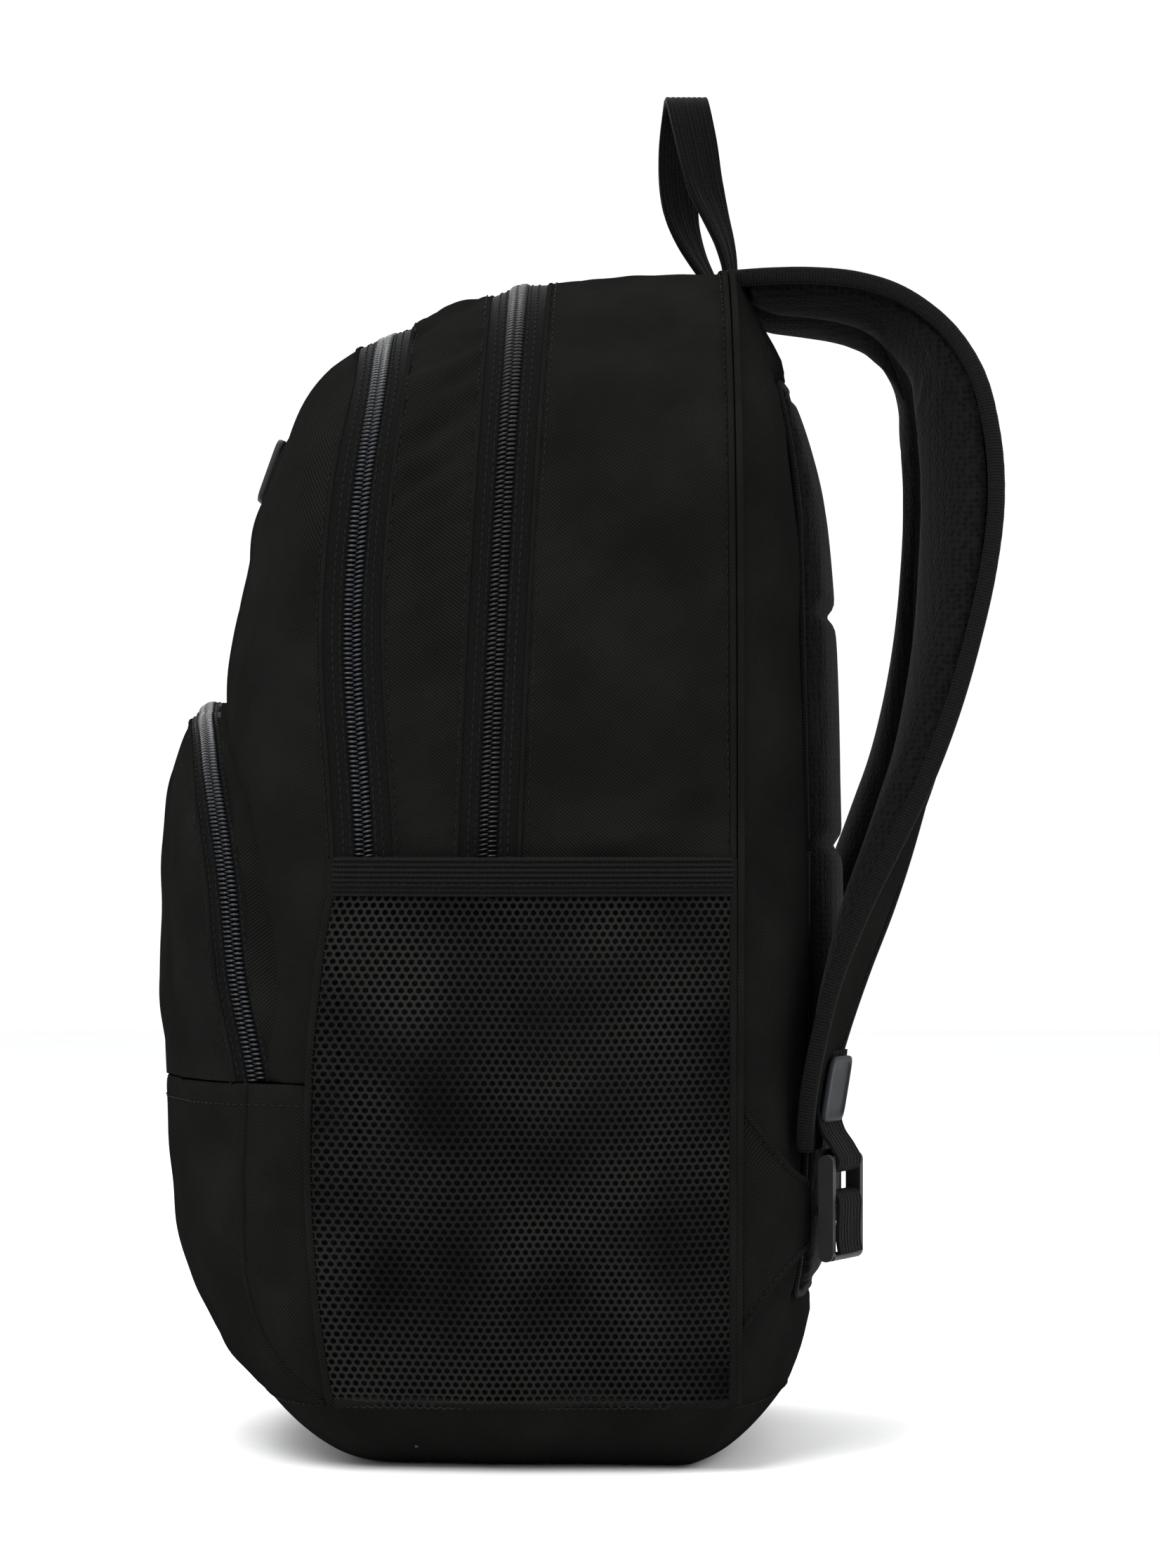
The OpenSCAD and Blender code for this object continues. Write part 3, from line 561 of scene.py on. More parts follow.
floor_finish = Nodes("floor", 0.85, specular=0.2)
floor_finish.colour(floor_finish.noise(floor_finish.place(False), 300, 2), grey(0.88), grey(0.9))
span = 4000
floor = make_mesh("floor", [(-span, -span, -0.3), (span, -span, -0.3), (span, span, -0.3),
                           (-span, span, -0.3)],
                  [(0, 1, 2, 3)], floor_finish.material)


def tips(piece):
    """Cloth on the front of the bag: bakes the piece's transform into its mesh."""
    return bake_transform(piece)


def ramp(x, low, high):
    t = np.clip((x - low) / (high - low), 0, 1)
    return t * t * (3 - 2 * t)


def between(a, b, v, from_mm, to_mm, puff, steps, z0=BASE_Z, zb=None):
    """The strip of wall between two seams, with from_mm and to_mm left free beside them."""
    p, q = seam(a, v, z0), seam(b, v, z0 if zb is None else zb)
    d = np.linalg.norm(q - p, axis=-1)[:, None]
    share = np.linspace(0, 1, steps)[None]
    u = (from_mm / d + (1 - (from_mm + to_mm) / d) * share)[..., None]
    g = p[:, None] * (1 - u) + q[:, None] * u
    turn = a[1] - CROWN - a[2]
    out = unit(np.stack([p[:, 0], 0 * v, np.clip(p[:, 2] - turn, 0, None)], -1))
    return g + out[:, None] * (puff * np.sin(np.pi * share) ** 0.8)[..., None]


def front_depth(z):
    return smooth_at(z, FRONT_FACE)


def front_rays(v, steps=160, z0=POCKET_ZIP_Z):
    """Lines on the front of the bag from the front zip inwards, evenly spaced in length."""
    edge = seam(FRONT_SEAM, v, z0)
    centre_z = np.minimum(edge[:, 2], 330)
    power = 1.6 + 1.4 * ramp(330 - edge[:, 2], -70, 0)
    return rays(edge, centre_z, front_depth, power, steps)


def rays(edge, centre_z, depth, power, steps):
    angle = np.linspace(0, np.pi / 2, 400)[None]
    inward = np.cos(angle) ** (2 / power[:, None])
    rise = np.sin(angle) ** (2 / power[:, None])
    x = edge[:, :1] * inward
    z = centre_z[:, None] + (edge[:, 2:] - centre_z[:, None]) * inward
    y = edge[:, 1:2] + (depth(z) - edge[:, 1:2]) * rise
    lines = np.stack([x, y, z], -1)
    even = np.empty((len(edge), steps, 3))
    for i, line in enumerate(lines):
        run = np.concatenate([[0], np.cumsum(np.linalg.norm(np.diff(line, axis=0), axis=-1))])
        for c in range(3):
            even[i, :, c] = np.interp(np.linspace(0, run[-1], steps), run, line[:, c])
    return even


def cut(lines, from_mm, to_mm, steps):
    """Part of each line, between two distances from its start; to_mm None keeps it to its end."""
    out = np.empty((len(lines), steps, 3))
    for i, line in enumerate(lines):
        run = np.concatenate([[0], np.cumsum(np.linalg.norm(np.diff(line, axis=0), axis=-1))])
        at = np.linspace(from_mm, run[-1] if to_mm is None else to_mm, steps)
        for c in range(3):
            out[i, :, c] = np.interp(at, run, line[:, c])
    return out


def lower_section(z, count=121):
    """Half contour of the lower front at height z, from beside the mesh pocket to the centre."""
    angle = np.linspace(0, np.pi / 2, count)
    half = 144 - slim(z)
    depth = smooth_at(z, POCKET_FACE)
    x = half * np.cos(angle) ** (2 / 2.65)
    y = -70 + (depth + 70) * np.sin(angle) ** (2 / 2.65)
    return np.stack([x, y, np.full(count, z)], -1)


def body_y(x, z):
    """Depth of the front of the bag, behind the pocket, at a place on its face."""
    start = smooth_at(z, FRONT_SEAM[3])
    share = np.clip(np.abs(x) / (146 - slim(z)), 0, 1)
    return start + (front_depth(z) - start) * (1 - share ** 3) ** (1 / 3)


def side_x(y, z):
    """Half width of the bag's side at a depth and height."""
    half = np.interp(y, [-70, -24, 66], [144, 152, 150])
    t = np.clip((-70 - y) / 74, 0, 1)
    return half * (1 - t ** 2.65) ** (1 / 2.65) - slim(z)


def lift(g, amount):
    """Moves a grid along its outward normals."""
    n = grid_normals(g)
    outward = g - np.array([0, 0, 200])
    n = -n if (n * outward).sum() < 0 else n
    return g + n * np.asarray(amount)[..., None]


def crumple(g, seed, height, size=55, fade=None):
    """Soft unevenness and small creases in a cloth surface."""
    broad = ripple(g, size, seed) * height
    fine = ripple(g * np.array([1, 1, 0.5]), size / 3.2, seed + 1) * height * 0.28
    amount = broad + fine
    return lift(g, amount if fade is None else amount * fade)


def edge_fade(shape, left, right):
    """Zero at the first and last columns, one a few steps in."""
    columns = np.arange(shape[1]) / (shape[1] - 1)
    fade = np.clip(columns / left, 0, 1) * np.clip((1 - columns) / right, 0, 1)
    return np.sqrt(fade)[None] * np.ones(shape[:2])


def gathers(g, height, pitch, reach, at_start=True, at_end=True):
    """Small puckers along a sewn edge, dying out over reach millimetres."""
    uv = grid_uv(g)
    along, across = uv[..., 0], uv[..., 1]
    near = np.zeros(g.shape[:2])
    if at_start:
        near = near + np.exp(-across / reach)
    if at_end:
        near = near + np.exp(-(across.max() - across) / reach)
    wave = np.sin(2 * np.pi * along / pitch + 1.3 * np.sin(along / 17.0) + 0.8 * np.sin(along / 41.0))
    return lift(g, height * near * wave)


def seam_row(name, g, column, material, body_call, pitch=3.3, above=0.15):
    """Stitches along one column of a grid."""
    normals = grid_normals(g)
    if (normals * (g - np.array([0, 0, 200]))).sum() < 0:
        normals = -normals
    path, normal = g[:, column], normals[:, column]
    return body_call(stitches(name, path + normal * above, normal, material, pitch))


def on_pack(piece):
    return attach(piece, "pack")


ARCH = np.linspace(-1, 1, 481)


def open_part(v, line, low_z):
    """The part of the arch whose seam is above a height."""
    return v[seam(line, v)[:, 2] >= low_z]


ZIP_LOW = 205.0
zip_v = np.linspace(*open_part(ARCH, MAIN_SEAM, ZIP_LOW)[[0, -1]], 420)

# Rear gusset: one long strip from the base, over the top and down again
rear = between(BACK_SEAM, MAIN_SEAM, ARCH, 1.2, ZIP_HALF, 2.2, 26)
rear_fade = edge_fade(rear.shape, 0.25, 0.25)
rear = crumple(rear, 11, 0.9, 60, rear_fade)
rear = gathers(rear, 0.32, 9.5, 7)
for sx in (-1, 1):
    rear = lift(rear, fold(rear, (sx * 151, 60, 252), (sx * 152, 24, 234), 5.5, 3.0))
    rear = lift(rear, fold(rear, (sx * 151, 52, 236), (sx * 152, 12, 226), 5, 2.0))
    rear = lift(rear, fold(rear, (sx * 118, 62, 414), (sx * 130, 40, 402), 4.5, 2.4))
    rear = lift(rear, fold(rear, (sx * 150, 52, 352), (sx * 151, 12, 338), 9, 1.6))
rear_gusset = sheet("rear_gusset_cloth", rear, CLOTH, 1.8)
on_pack(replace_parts(rear_gusset, "rear_gusset"))
seam_row("rear_gusset_stitching", rear, -2, THREAD, on_pack)
seam_row("back_seam_stitching", rear, 1, THREAD, on_pack)

# Mid gusset: the strip between the main zip and the front zip
mid_v = np.linspace(*open_part(ARCH, MAIN_SEAM, 203)[[0, -1]], 420)
mid = between(MAIN_SEAM, FRONT_SEAM, mid_v, ZIP_HALF, ZIP_HALF, 1.6, 22)
mid_fade = edge_fade(mid.shape, 0.3, 0.3)
mid = crumple(mid, 21, 0.55, 34, mid_fade)
mid = gathers(mid, 0.34, 8, 6)
slant = (mid[..., 2] * 0.82 - mid[..., 1] * 0.57 + 2.2 * ripple(mid, 40, 23)) * (2 * np.pi / 11.5)
gather_zone = ramp(mid[..., 2], 326, 366) * ramp(432 - mid[..., 2], 0, 10) * np.sqrt(mid_fade)
mid = lift(mid, 1.25 * gather_zone * np.sin(slant) * (1 + 0.35 * ripple(mid, 30, 24)))
for sx in (-1, 1):
    for z, y, size in ((318, -40, 0.9), (296, -44, 0.8), (262, -40, 0.9)):
        x = sx * float(np.interp(z, [220, 345], [150, 149.5]))
        mid = lift(mid, fold(mid, (x, y + 13, z + 9), (x, y - 14, z - 8), 4.2, size))
mid_gusset = tips(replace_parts(sheet("mid_gusset_cloth", mid, CLOTH, 1.6), "mid_gusset"))
seam_row("mid_gusset_rear_stitching", mid, 1, THREAD, tips)
seam_row("mid_gusset_front_stitching", mid, -2, THREAD, tips)

# Front panel: from the front zip inwards over the whole face behind the pocket
front_v = np.linspace(-1, 1, 401)
front_lines = front_rays(front_v)
front = cut(front_lines, ZIP_HALF, None, 90)
front_fade = edge_fade(front.shape, 0.12, 1e-3)
front = crumple(front, 31, 1.1, 62, front_fade)
front = gathers(front, 0.3, 8.5, 6, at_end=False)
for sx in (-1, 1):
    front = lift(front, fold(front, (sx * 138, -88, 300), (sx * 118, -108, 284), 5, 1.1))
    front = lift(front, fold(front, (sx * 134, -82, 372), (sx * 112, -98, 352), 6, 1.2))
    front = lift(front, fold(front, (sx * 142, -84, 232), (sx * 128, -104, 246), 5, 0.9))
front_panel = tips(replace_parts(sheet("front_panel_cloth", front, CLOTH, 1.6), "front_panel", "front_gusset"))
seam_row("front_panel_stitching", front[40:-40], 1, THREAD, tips)

# Side panels, behind the mesh pockets
for side, sx in (("right", 1), ("left", -1)):
    zs = np.linspace(BASE_Z, FOLD_Z - 4, 90)
    ys = np.linspace(-12.6, -79, 40)
    side_grid = np.stack(np.broadcast_arrays(0, ys[None], zs[:, None]), -1).astype(float)
    side_grid[..., 0] = sx * (side_x(side_grid[..., 1], side_grid[..., 2]) - 1.6)
    side_grid = crumple(side_grid, 41 + sx, 0.8, 50, edge_fade(side_grid.shape, 0.2, 0.2))
    panel = sheet("side_panel_cloth_" + side, side_grid, CLOTH, 1.6)
    tips(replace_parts(panel, "side_panel_" + side))

# Lower front: one wrap-round panel below the pocket's zip
low_z = np.concatenate([np.linspace(BASE_Z - 1, POCKET_ZIP_Z - 2.6, 62),
                        [POCKET_ZIP_Z - 1.4, POCKET_ZIP_Z - 0.6]])
half_rows = np.stack([lower_section(z) for z in low_z])
low_front = np.concatenate([half_rows[:, :-1], (half_rows * [-1, 1, 1])[:, ::-1]], 1)
seam_dip = (np.exp(-(POCKET_ZIP_Z - low_front[..., 2]) / 1.6) * 1.5
            + np.exp(-(low_front[..., 2] - BASE_Z) / 2.2) * 0.9)
low_front = crumple(low_front, 51, 1.1, 58, ramp(low_front[..., 2], BASE_Z, BASE_Z + 12))
low_front = lift(low_front, -seam_dip)
for sx in (-1, 1):
    low_front = lift(low_front, fold(low_front, (sx * 140, -92, 118), (sx * 120, -118, 100), 8, 1.2))
    low_front = lift(low_front, fold(low_front, (sx * 138, -90, 60), (sx * 116, -112, 78), 9, 1.3))
    low_front = lift(low_front, fold(low_front, (sx * 90, -134, 44), (sx * 40, -138, 60), 10, 1.2))
lower_front = tips(sheet("front_lower_cloth", low_front, CLOTH, 1.8))
EDGE_SEAM = [(26, -82), (34, -92), (46, -102), (60, -108), (100, -111), (139, -110)]
for side, sx in (("right", 1), ("left", -1)):
    line = []
    for row in low_front:
        half = row[:120] if sx > 0 else row[:-121:-1]
        at = -smooth_at(row[0, 2], EDGE_SEAM)
        line.append([np.interp(at, -half[:, 1], half[:, k]) for k in range(3)])
    line = np.array(line)
    outward = unit(line * [1, 1, 0] - [0, -60, 0])
    tips(sweep("lower_edge_seam_" + side, line + outward * 0.2, oval(2.2, 1.7, 10), CLOTH, up=outward))
    tips(stitches("lower_edge_stitching_" + side, line + outward * 0.35 + [0, 3.4, 0], outward, THREAD))
seam_row("pocket_base_stitching", np.swapaxes(low_front, 0, 1), -6, THREAD, tips)

# Pocket: its face inside the zip, and the strip that stands it off the bag
pocket_v = np.linspace(-1, 1, 361)


def pocket_seam_at(v):
    return seam(POCKET_SEAM, v, POCKET_ZIP_Z)


def pocket_rays(v, steps=150):
    edge = pocket_seam_at(v)
    power = 1.7 + 0.5 * ramp(230 - edge[:, 2], -45, 0)
    return rays(edge, np.minimum(edge[:, 2], 222), lambda z: smooth_at(z, POCKET_FACE), power, steps)


POCKET_HALF_CHAIN = 5.2
pocket_lines = pocket_rays(pocket_v)
pocket = cut(pocket_lines, POCKET_HALF_CHAIN + 3.0, None, 76)
pocket = crumple(pocket, 61, 1.0, 56, edge_fade(pocket.shape, 0.12, 1e-3))
pocket = gathers(pocket, 0.28, 8, 6, at_end=False)
for sx in (-1, 1):
    pocket = lift(pocket, fold(pocket, (sx * 112, -128, 236), (sx * 92, -138, 222), 6, 1.2))
    pocket = lift(pocket, fold(pocket, (sx * 118, -122, 168), (sx * 96, -136, 180), 6, 1.0))
pocket_face = tips(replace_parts(sheet("pocket_cloth", pocket, CLOTH, 1.8),
                           "front_pocket_panel", "pocket_panel_upper",
                               "front_fold"))
seam_row("pocket_stitching", pocket, 1, THREAD, tips)

rim = pocket_seam_at(pocket_v)
foot = rim.copy()
foot[:, 1] = np.maximum(body_y(rim[:, 0], rim[:, 2]) + 2.5, rim[:, 1] + 7)
foot += unit(np.stack([rim[:, 0], 0 * pocket_v, np.clip(rim[:, 2] - 190, 0, None)], -1)) * 1.5
gusset_lines = np.stack([rim * (1 - t) + foot * t for t in np.linspace(0, 1, 40)], 1)
pocket_wall = crumple(cut(gusset_lines, 3.9, None, 12), 71, 0.3, 25)
wall_piece = tips(sheet("pocket_gusset_cloth", pocket_wall, CLOTH, 1.2))


# ---------------------------------------------------------------- zips
TOOTH = capsule(3.9, 1.15, 2.1, 6, 5)
TOOTH_PITCH = 1.75


def surface_normal(path, side):
    """Outward normals of a strip that runs along a path and reaches towards side points."""
    n = unit(np.cross(unit(np.gradient(path, axis=0)), side - path))
    flip = np.sign((n * (path - np.array([0, 0, 200]))).sum(-1, keepdims=True))
    return n * flip


def coil(name, path, side, material, body_call, shift, node=None):
    """One half of a coil chain: the visible top of each turn, on a cord that they wrap."""
    joined = np.concatenate([path, side], -1)
    run = np.concatenate([[0], np.cumsum(np.linalg.norm(np.diff(path, axis=0), axis=-1))])
    at = np.arange(TOOTH_PITCH * (0.3 + shift), run[-1], TOOTH_PITCH)
    found = np.stack([np.interp(at, run, joined[:, k]) for k in range(6)], -1)
    centre, reach = found[:, :3], found[:, 3:]
    out = surface_normal(centre, reach)
    across = unit(reach - centre)
    along = np.cross(out, across)
    origin = centre + across * 1.55 + out * 0.15
    teeth = copies(name, TOOTH, (origin, np.stack([across, along, out], 1)), material)
    body_call(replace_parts(teeth, node) if node else teeth)
    return teeth


def tape(name, path, side, body_call, node=None, reach=(0.05, 11.6), rows=(4.6, 7.2)):
    """Woven tape beside a chain, with its two rows of stitching."""
    out = surface_normal(path, side)
    across = unit(side - path)
    wide = np.linspace(*reach, 16)
    height = np.interp(wide, [0, 2.2, 3.6, reach[1]], [-1.5, -1.4, 0.15, 0.05])
    g = path[:, None] + across[:, None] * wide[None, :, None] + out[:, None] * height[None, :, None]
    piece = sheet(name, g, TAPE, 0.7)
    body_call(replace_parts(piece, node) if node else piece)
    for i, at in enumerate(rows):
        line = path + across * at + out * 0.3
        body_call(stitches(f"{name}_stitching_{i}", line, out, THREAD, 3.1))
    return piece


def fold_edge(name, path, side, body_call, at=11.4):
    """The turned edge of the cloth where it is sewn over a zip tape."""
    out = surface_normal(path, side)
    across = unit(side - path)
    line = path + across * at + out * 0.2
    return body_call(sweep(name, line, oval(1.8, 1.5, 8), CLOTH, up=out))


def rows_towards(lines, mm):
    return cut(lines, mm, mm, 1)[:, 0]


main_path = seam(MAIN_SEAM, zip_v)
rear_side = between(MAIN_SEAM, BACK_SEAM, zip_v, ZIP_HALF, 2, 0, 3)[:, 0]
mid_side = between(MAIN_SEAM, FRONT_SEAM, zip_v, ZIP_HALF, 2, 0, 3)[:, 0]
coil("main_coil_rear", main_path, rear_side, BLACK_COIL, on_pack, 0.0, "main_zip_coil_rear")
coil("main_coil_front", main_path, mid_side, BLACK_COIL, tips, 0.5, "main_zip_coil_front")
tape("main_tape_rear", main_path, rear_side, on_pack, "main_zip_tape_rear")
tape("main_tape_front", main_path, mid_side, tips, "main_zip_tape_front")
fold_edge("main_edge_rear", main_path, rear_side, on_pack)
fold_edge("main_edge_front", main_path, mid_side, tips)

chain_v = np.linspace(*open_part(ARCH, FRONT_SEAM, ZIP_LOW)[[0, -1]], 400)
chain_path = seam(FRONT_SEAM, chain_v)
chain_rear = between(FRONT_SEAM, MAIN_SEAM, chain_v, ZIP_HALF, 2, 0, 3)[:, 0]
chain_lines = front_rays(chain_v, z0=BASE_Z)
chain_front = rows_towards(chain_lines, ZIP_HALF)
coil("front_coil_rear", chain_path, chain_rear, GREY_COIL, tips, 0.0, "front_zip_coil")
coil("front_coil_front", chain_path, chain_front, GREY_COIL, tips, 0.5)
tape("front_tape_rear", chain_path, chain_rear, tips, "front_zip_tape")
tape("front_tape_front", chain_path, chain_front, tips)
fold_edge("front_edge_rear", chain_path, chain_rear, tips)
fold_edge("front_edge_front", chain_path, chain_front, tips)

pocket_path = pocket_seam_at(pocket_v)
pocket_side = rows_towards(pocket_lines, 8.0)
pocket_back = rows_towards(gusset_lines, 5.5)
coil("pocket_coil_rear", pocket_path, pocket_back, GREY_COIL, tips, 0.0, "pocket_zip_coil")
coil("pocket_coil_front", pocket_path, pocket_side, GREY_COIL, tips, 0.5)
tape("pocket_tape_front", pocket_path, pocket_side, tips, "pocket_zip_tape", (0.05, 8.8), (4.4, 6.6))
tape("pocket_tape_rear", pocket_path, pocket_back, tips, None, (0.05, 6.0), (4.4,))
fold_edge("pocket_edge_front", pocket_path, pocket_side, tips, 8.4)


# ---------------------------------------------------------------- back seam, base
piping_line = (BACK_SEAM[0] + 1.2, BACK_SEAM[1] + 1.2, BACK_SEAM[2], BACK_SEAM[3])
piping_path = seam(piping_line, ARCH) + np.array([0, 0.6, 0])
piping = sweep("back_seam_piping_cloth", piping_path, oval(2.6, 2.6, 10), CLOTH, up=(0, 1, 0))
on_pack(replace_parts(piping, "back_seam_piping"))
flap_path = seam(piping_line, ARCH) + np.array([0, -2.2, 0])
on_pack(sweep("back_seam_welt", flap_path, oval(2.4, 1.4, 10), CLOTH, up=unit(flap_path * [1, 0, 0.6])))


def base_contour(count=260):
    """The bag's outline at the base, seen from above, as points round it and their directions."""
    u = np.linspace(0, 1, 60)
    face = smooth_at(BASE_Z, BACK_FACE)
    half_back = np.stack([u * (BACK_SEAM[0] - slim(BASE_Z)), face - (face - 66.5) * u ** 3], -1)
    side_y = np.linspace(64, -68, 60)
    half_side = np.stack([side_x(side_y, BASE_Z), side_y], -1)
    half_front = lower_section(BASE_Z)[3:, :2]
    half = np.concatenate([half_back, half_side, half_front])
    whole = np.concatenate([half, half[::-1][1:-1] * [-1, 1]])
    outline = resample(np.concatenate([whole, whole[:1]]), 0.5)
    outline = outline[np.linspace(0, len(outline) - 1, count + 1).astype(int)[:-1]]
    return outline, np.arctan2(outline[:, 1], outline[:, 0])


ring, ring_angle = base_contour()
inset_most = 48 + np.where(ring_angle < 0, 14, -13) * np.sin(ring_angle) ** 2
centre = np.array([0, -8.0])
levels = np.concatenate([np.linspace(0, 1, 26), np.linspace(1.12, 5.2, 16)])
base_rows = []
for level in levels:
    inset = inset_most * level
    distance = np.linalg.norm(ring - centre, axis=-1)
    flat = centre + (ring - centre) * np.clip(1 - inset / distance, 0.02, 1)[:, None]
    height = (BASE_Z + 1.5) * np.clip(1 - level, 0, 1) ** 2.1
    wavy = 1.3 * np.sin(ring_angle * 7 + 1) + 0.7 * np.sin(ring_angle * 17) if level == 0 else 0
    base_rows.append(np.stack([flat[:, 0], flat[:, 1], height + wavy + np.zeros(len(ring))], -1))
outer_rows = np.array(base_rows)
swell = ripple(outer_rows, 60, 81) * 0.7 * ramp(outer_rows[..., 2], 0.5, 10)
outer_rows[..., :2] += unit(outer_rows[..., :2] - centre) * swell[..., None]
outer_rows[..., 2] = np.maximum(outer_rows[..., 2], 0)
inner_rows = outer_rows * [0.985, 0.985, 1] + [0, 0, 1.6]
base_rings = np.concatenate([outer_rows[::-1], inner_rows])
base = ring_mesh("base_cloth", base_rings, BASE_CLOTH)
on_pack(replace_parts(base, "base_panel"))
edge_ring = np.concatenate([outer_rows[1], outer_rows[1][:2]])
edge_out = unit(np.concatenate([edge_ring[:, :2] - centre, np.full((len(edge_ring), 1), 8.0)], -1))
on_pack(stitches("base_stitching", edge_ring + edge_out * 0.35, edge_out, THREAD))


# ---------------------------------------------------------------- mesh side pockets
POCKET_Y = (64.6, -79.0)


def pocket_bow(z):
    """How far the pocket's front edge bulges forward at a height."""
    return 8.5 * np.sin(np.pi * np.clip((z - BASE_Z) / (ELASTIC_Z[0] - BASE_Z), 0, 1)) ** 0.8


def pocket_x(y, z, at=None):
    """Outward reach of a mesh pocket over the side of the bag; at is where its cloth was pushed to."""
    across = np.clip((POCKET_Y[0] - y) / (POCKET_Y[0] - POCKET_Y[1]), 0, 1)
    up = np.clip((z - BASE_Z) / (ELASTIC_Z[0] - BASE_Z), 0, 1)
    edge = np.clip(np.minimum(across, 1 - across) / 0.09, 0, 1) ** 0.6 * np.clip(up / 0.08, 0, 1) ** 0.6
    puff = np.sin(np.pi * across) * np.sin(np.pi * up ** 1.25)
    swell = 2.2 + 6 * up * np.sin(np.pi * across) + 12 * np.clip(puff, 0, None)
    loose = np.clip(np.sin(np.pi * up ** 1.1), 0, 1) * np.clip(np.sin(np.pi * across), 0, 1) ** 0.5
    swell = swell + loose * slack(y, z)
    return side_x(y if at is None else at, z) + 1.7 + edge * swell


def slack(y, z):
    """The slow, slanting folds of a loose pocket."""
    lean = y + 0.28 * (z - 120)
    front_fold = 5.5 * np.exp(-((lean + 44) / 15) ** 2)
    valley = -5.5 * np.exp(-((lean + 14) / 17) ** 2)
    rear_fold = 6.0 * np.exp(-((lean - 24) / 20) ** 2)
    crossing = 3.0 * np.exp(-((z - 96 - 0.5 * y) / 14) ** 2)
    return front_fold + valley + rear_fold - crossing


def mesh_net(name, sx, material, pitch=2.9, hole=0.64, thickness=0.55):
    """A knitted net: six-sided cells, each with a hole through it."""
    rows = int((ELASTIC_Z[0] + 2 - BASE_Z) / (pitch * 0.866)) + 1
    columns = int((POCKET_Y[0] - POCKET_Y[1]) / pitch)
    turn = np.radians(30 + 60 * np.arange(6))
    hexagon = np.stack([np.cos(turn), np.sin(turn)], -1) * pitch / math.sqrt(3)
    r, c = np.meshgrid(np.arange(rows), np.arange(columns), indexing="ij")
    centre_y = POCKET_Y[0] - pitch * (c + 0.5 + 0.5 * (r % 2))
    centre_z = BASE_Z + 0.5 + pitch * 0.866 * r
    spots = np.stack([centre_y.ravel(), centre_z.ravel()], -1)
    outer, inner = spots[:, None] + hexagon, spots[:, None] + hexagon * hole
    both = np.concatenate([outer, inner], 1).reshape(-1, 2)
    y, z = both[:, 0], both[:, 1]
    forward = np.clip((-20 - y) / 59, 0, 1) ** 1.5
    at = y - forward * pocket_bow(z)
    pleat = sum(0.9 * np.exp(-((y - pleat_y) / 2.4) ** 2) * np.clip(1 - (z - BASE_Z) / 60, 0, 1)
                for pleat_y in (-56, 39))
    crease = 0.5 * np.exp(-((y + 8) / 2.0) ** 2) * np.sin(np.pi * np.clip((z - BASE_Z) / 180, 0, 1))
    base = np.stack([0 * y, at, z], -1)
    loose = ripple(base, 42, 91 + sx) * 0.7 * np.sin(np.pi * np.clip((z - BASE_Z) / 182, 0, 1))
    x = pocket_x(y, z, at) + pleat + crease + loose
    top = np.stack([sx * x, at, z], -1)
    low = top - np.array([sx * thickness, 0, 0])
    total = len(top)
    start = 12 * np.arange(len(spots))[:, None]
    k = np.arange(6)
    nxt = (k + 1) % 6
    ring_faces = np.stack(np.broadcast_arrays(start + k, start + nxt, start + 6 + nxt, start + 6 + k), -1)
    wall_faces = np.stack(np.broadcast_arrays(start + 6 + k, start + 6 + nxt, total + start + 6 + nxt,
                                              total + start + 6 + k), -1)
    faces = np.concatenate([ring_faces.reshape(-1, 4), ring_faces.reshape(-1, 4)[:, ::-1] + total,
                            wall_faces.reshape(-1, 4)])
    faces = faces if sx > 0 else faces[:, ::-1]
    points = np.concatenate([top, low])
    keys = np.round(points * 20).astype(np.int64)
    _, first, back = np.unique(keys, axis=0, return_index=True, return_inverse=True)
    return make_mesh(name, points[first], back.ravel()[faces], material)


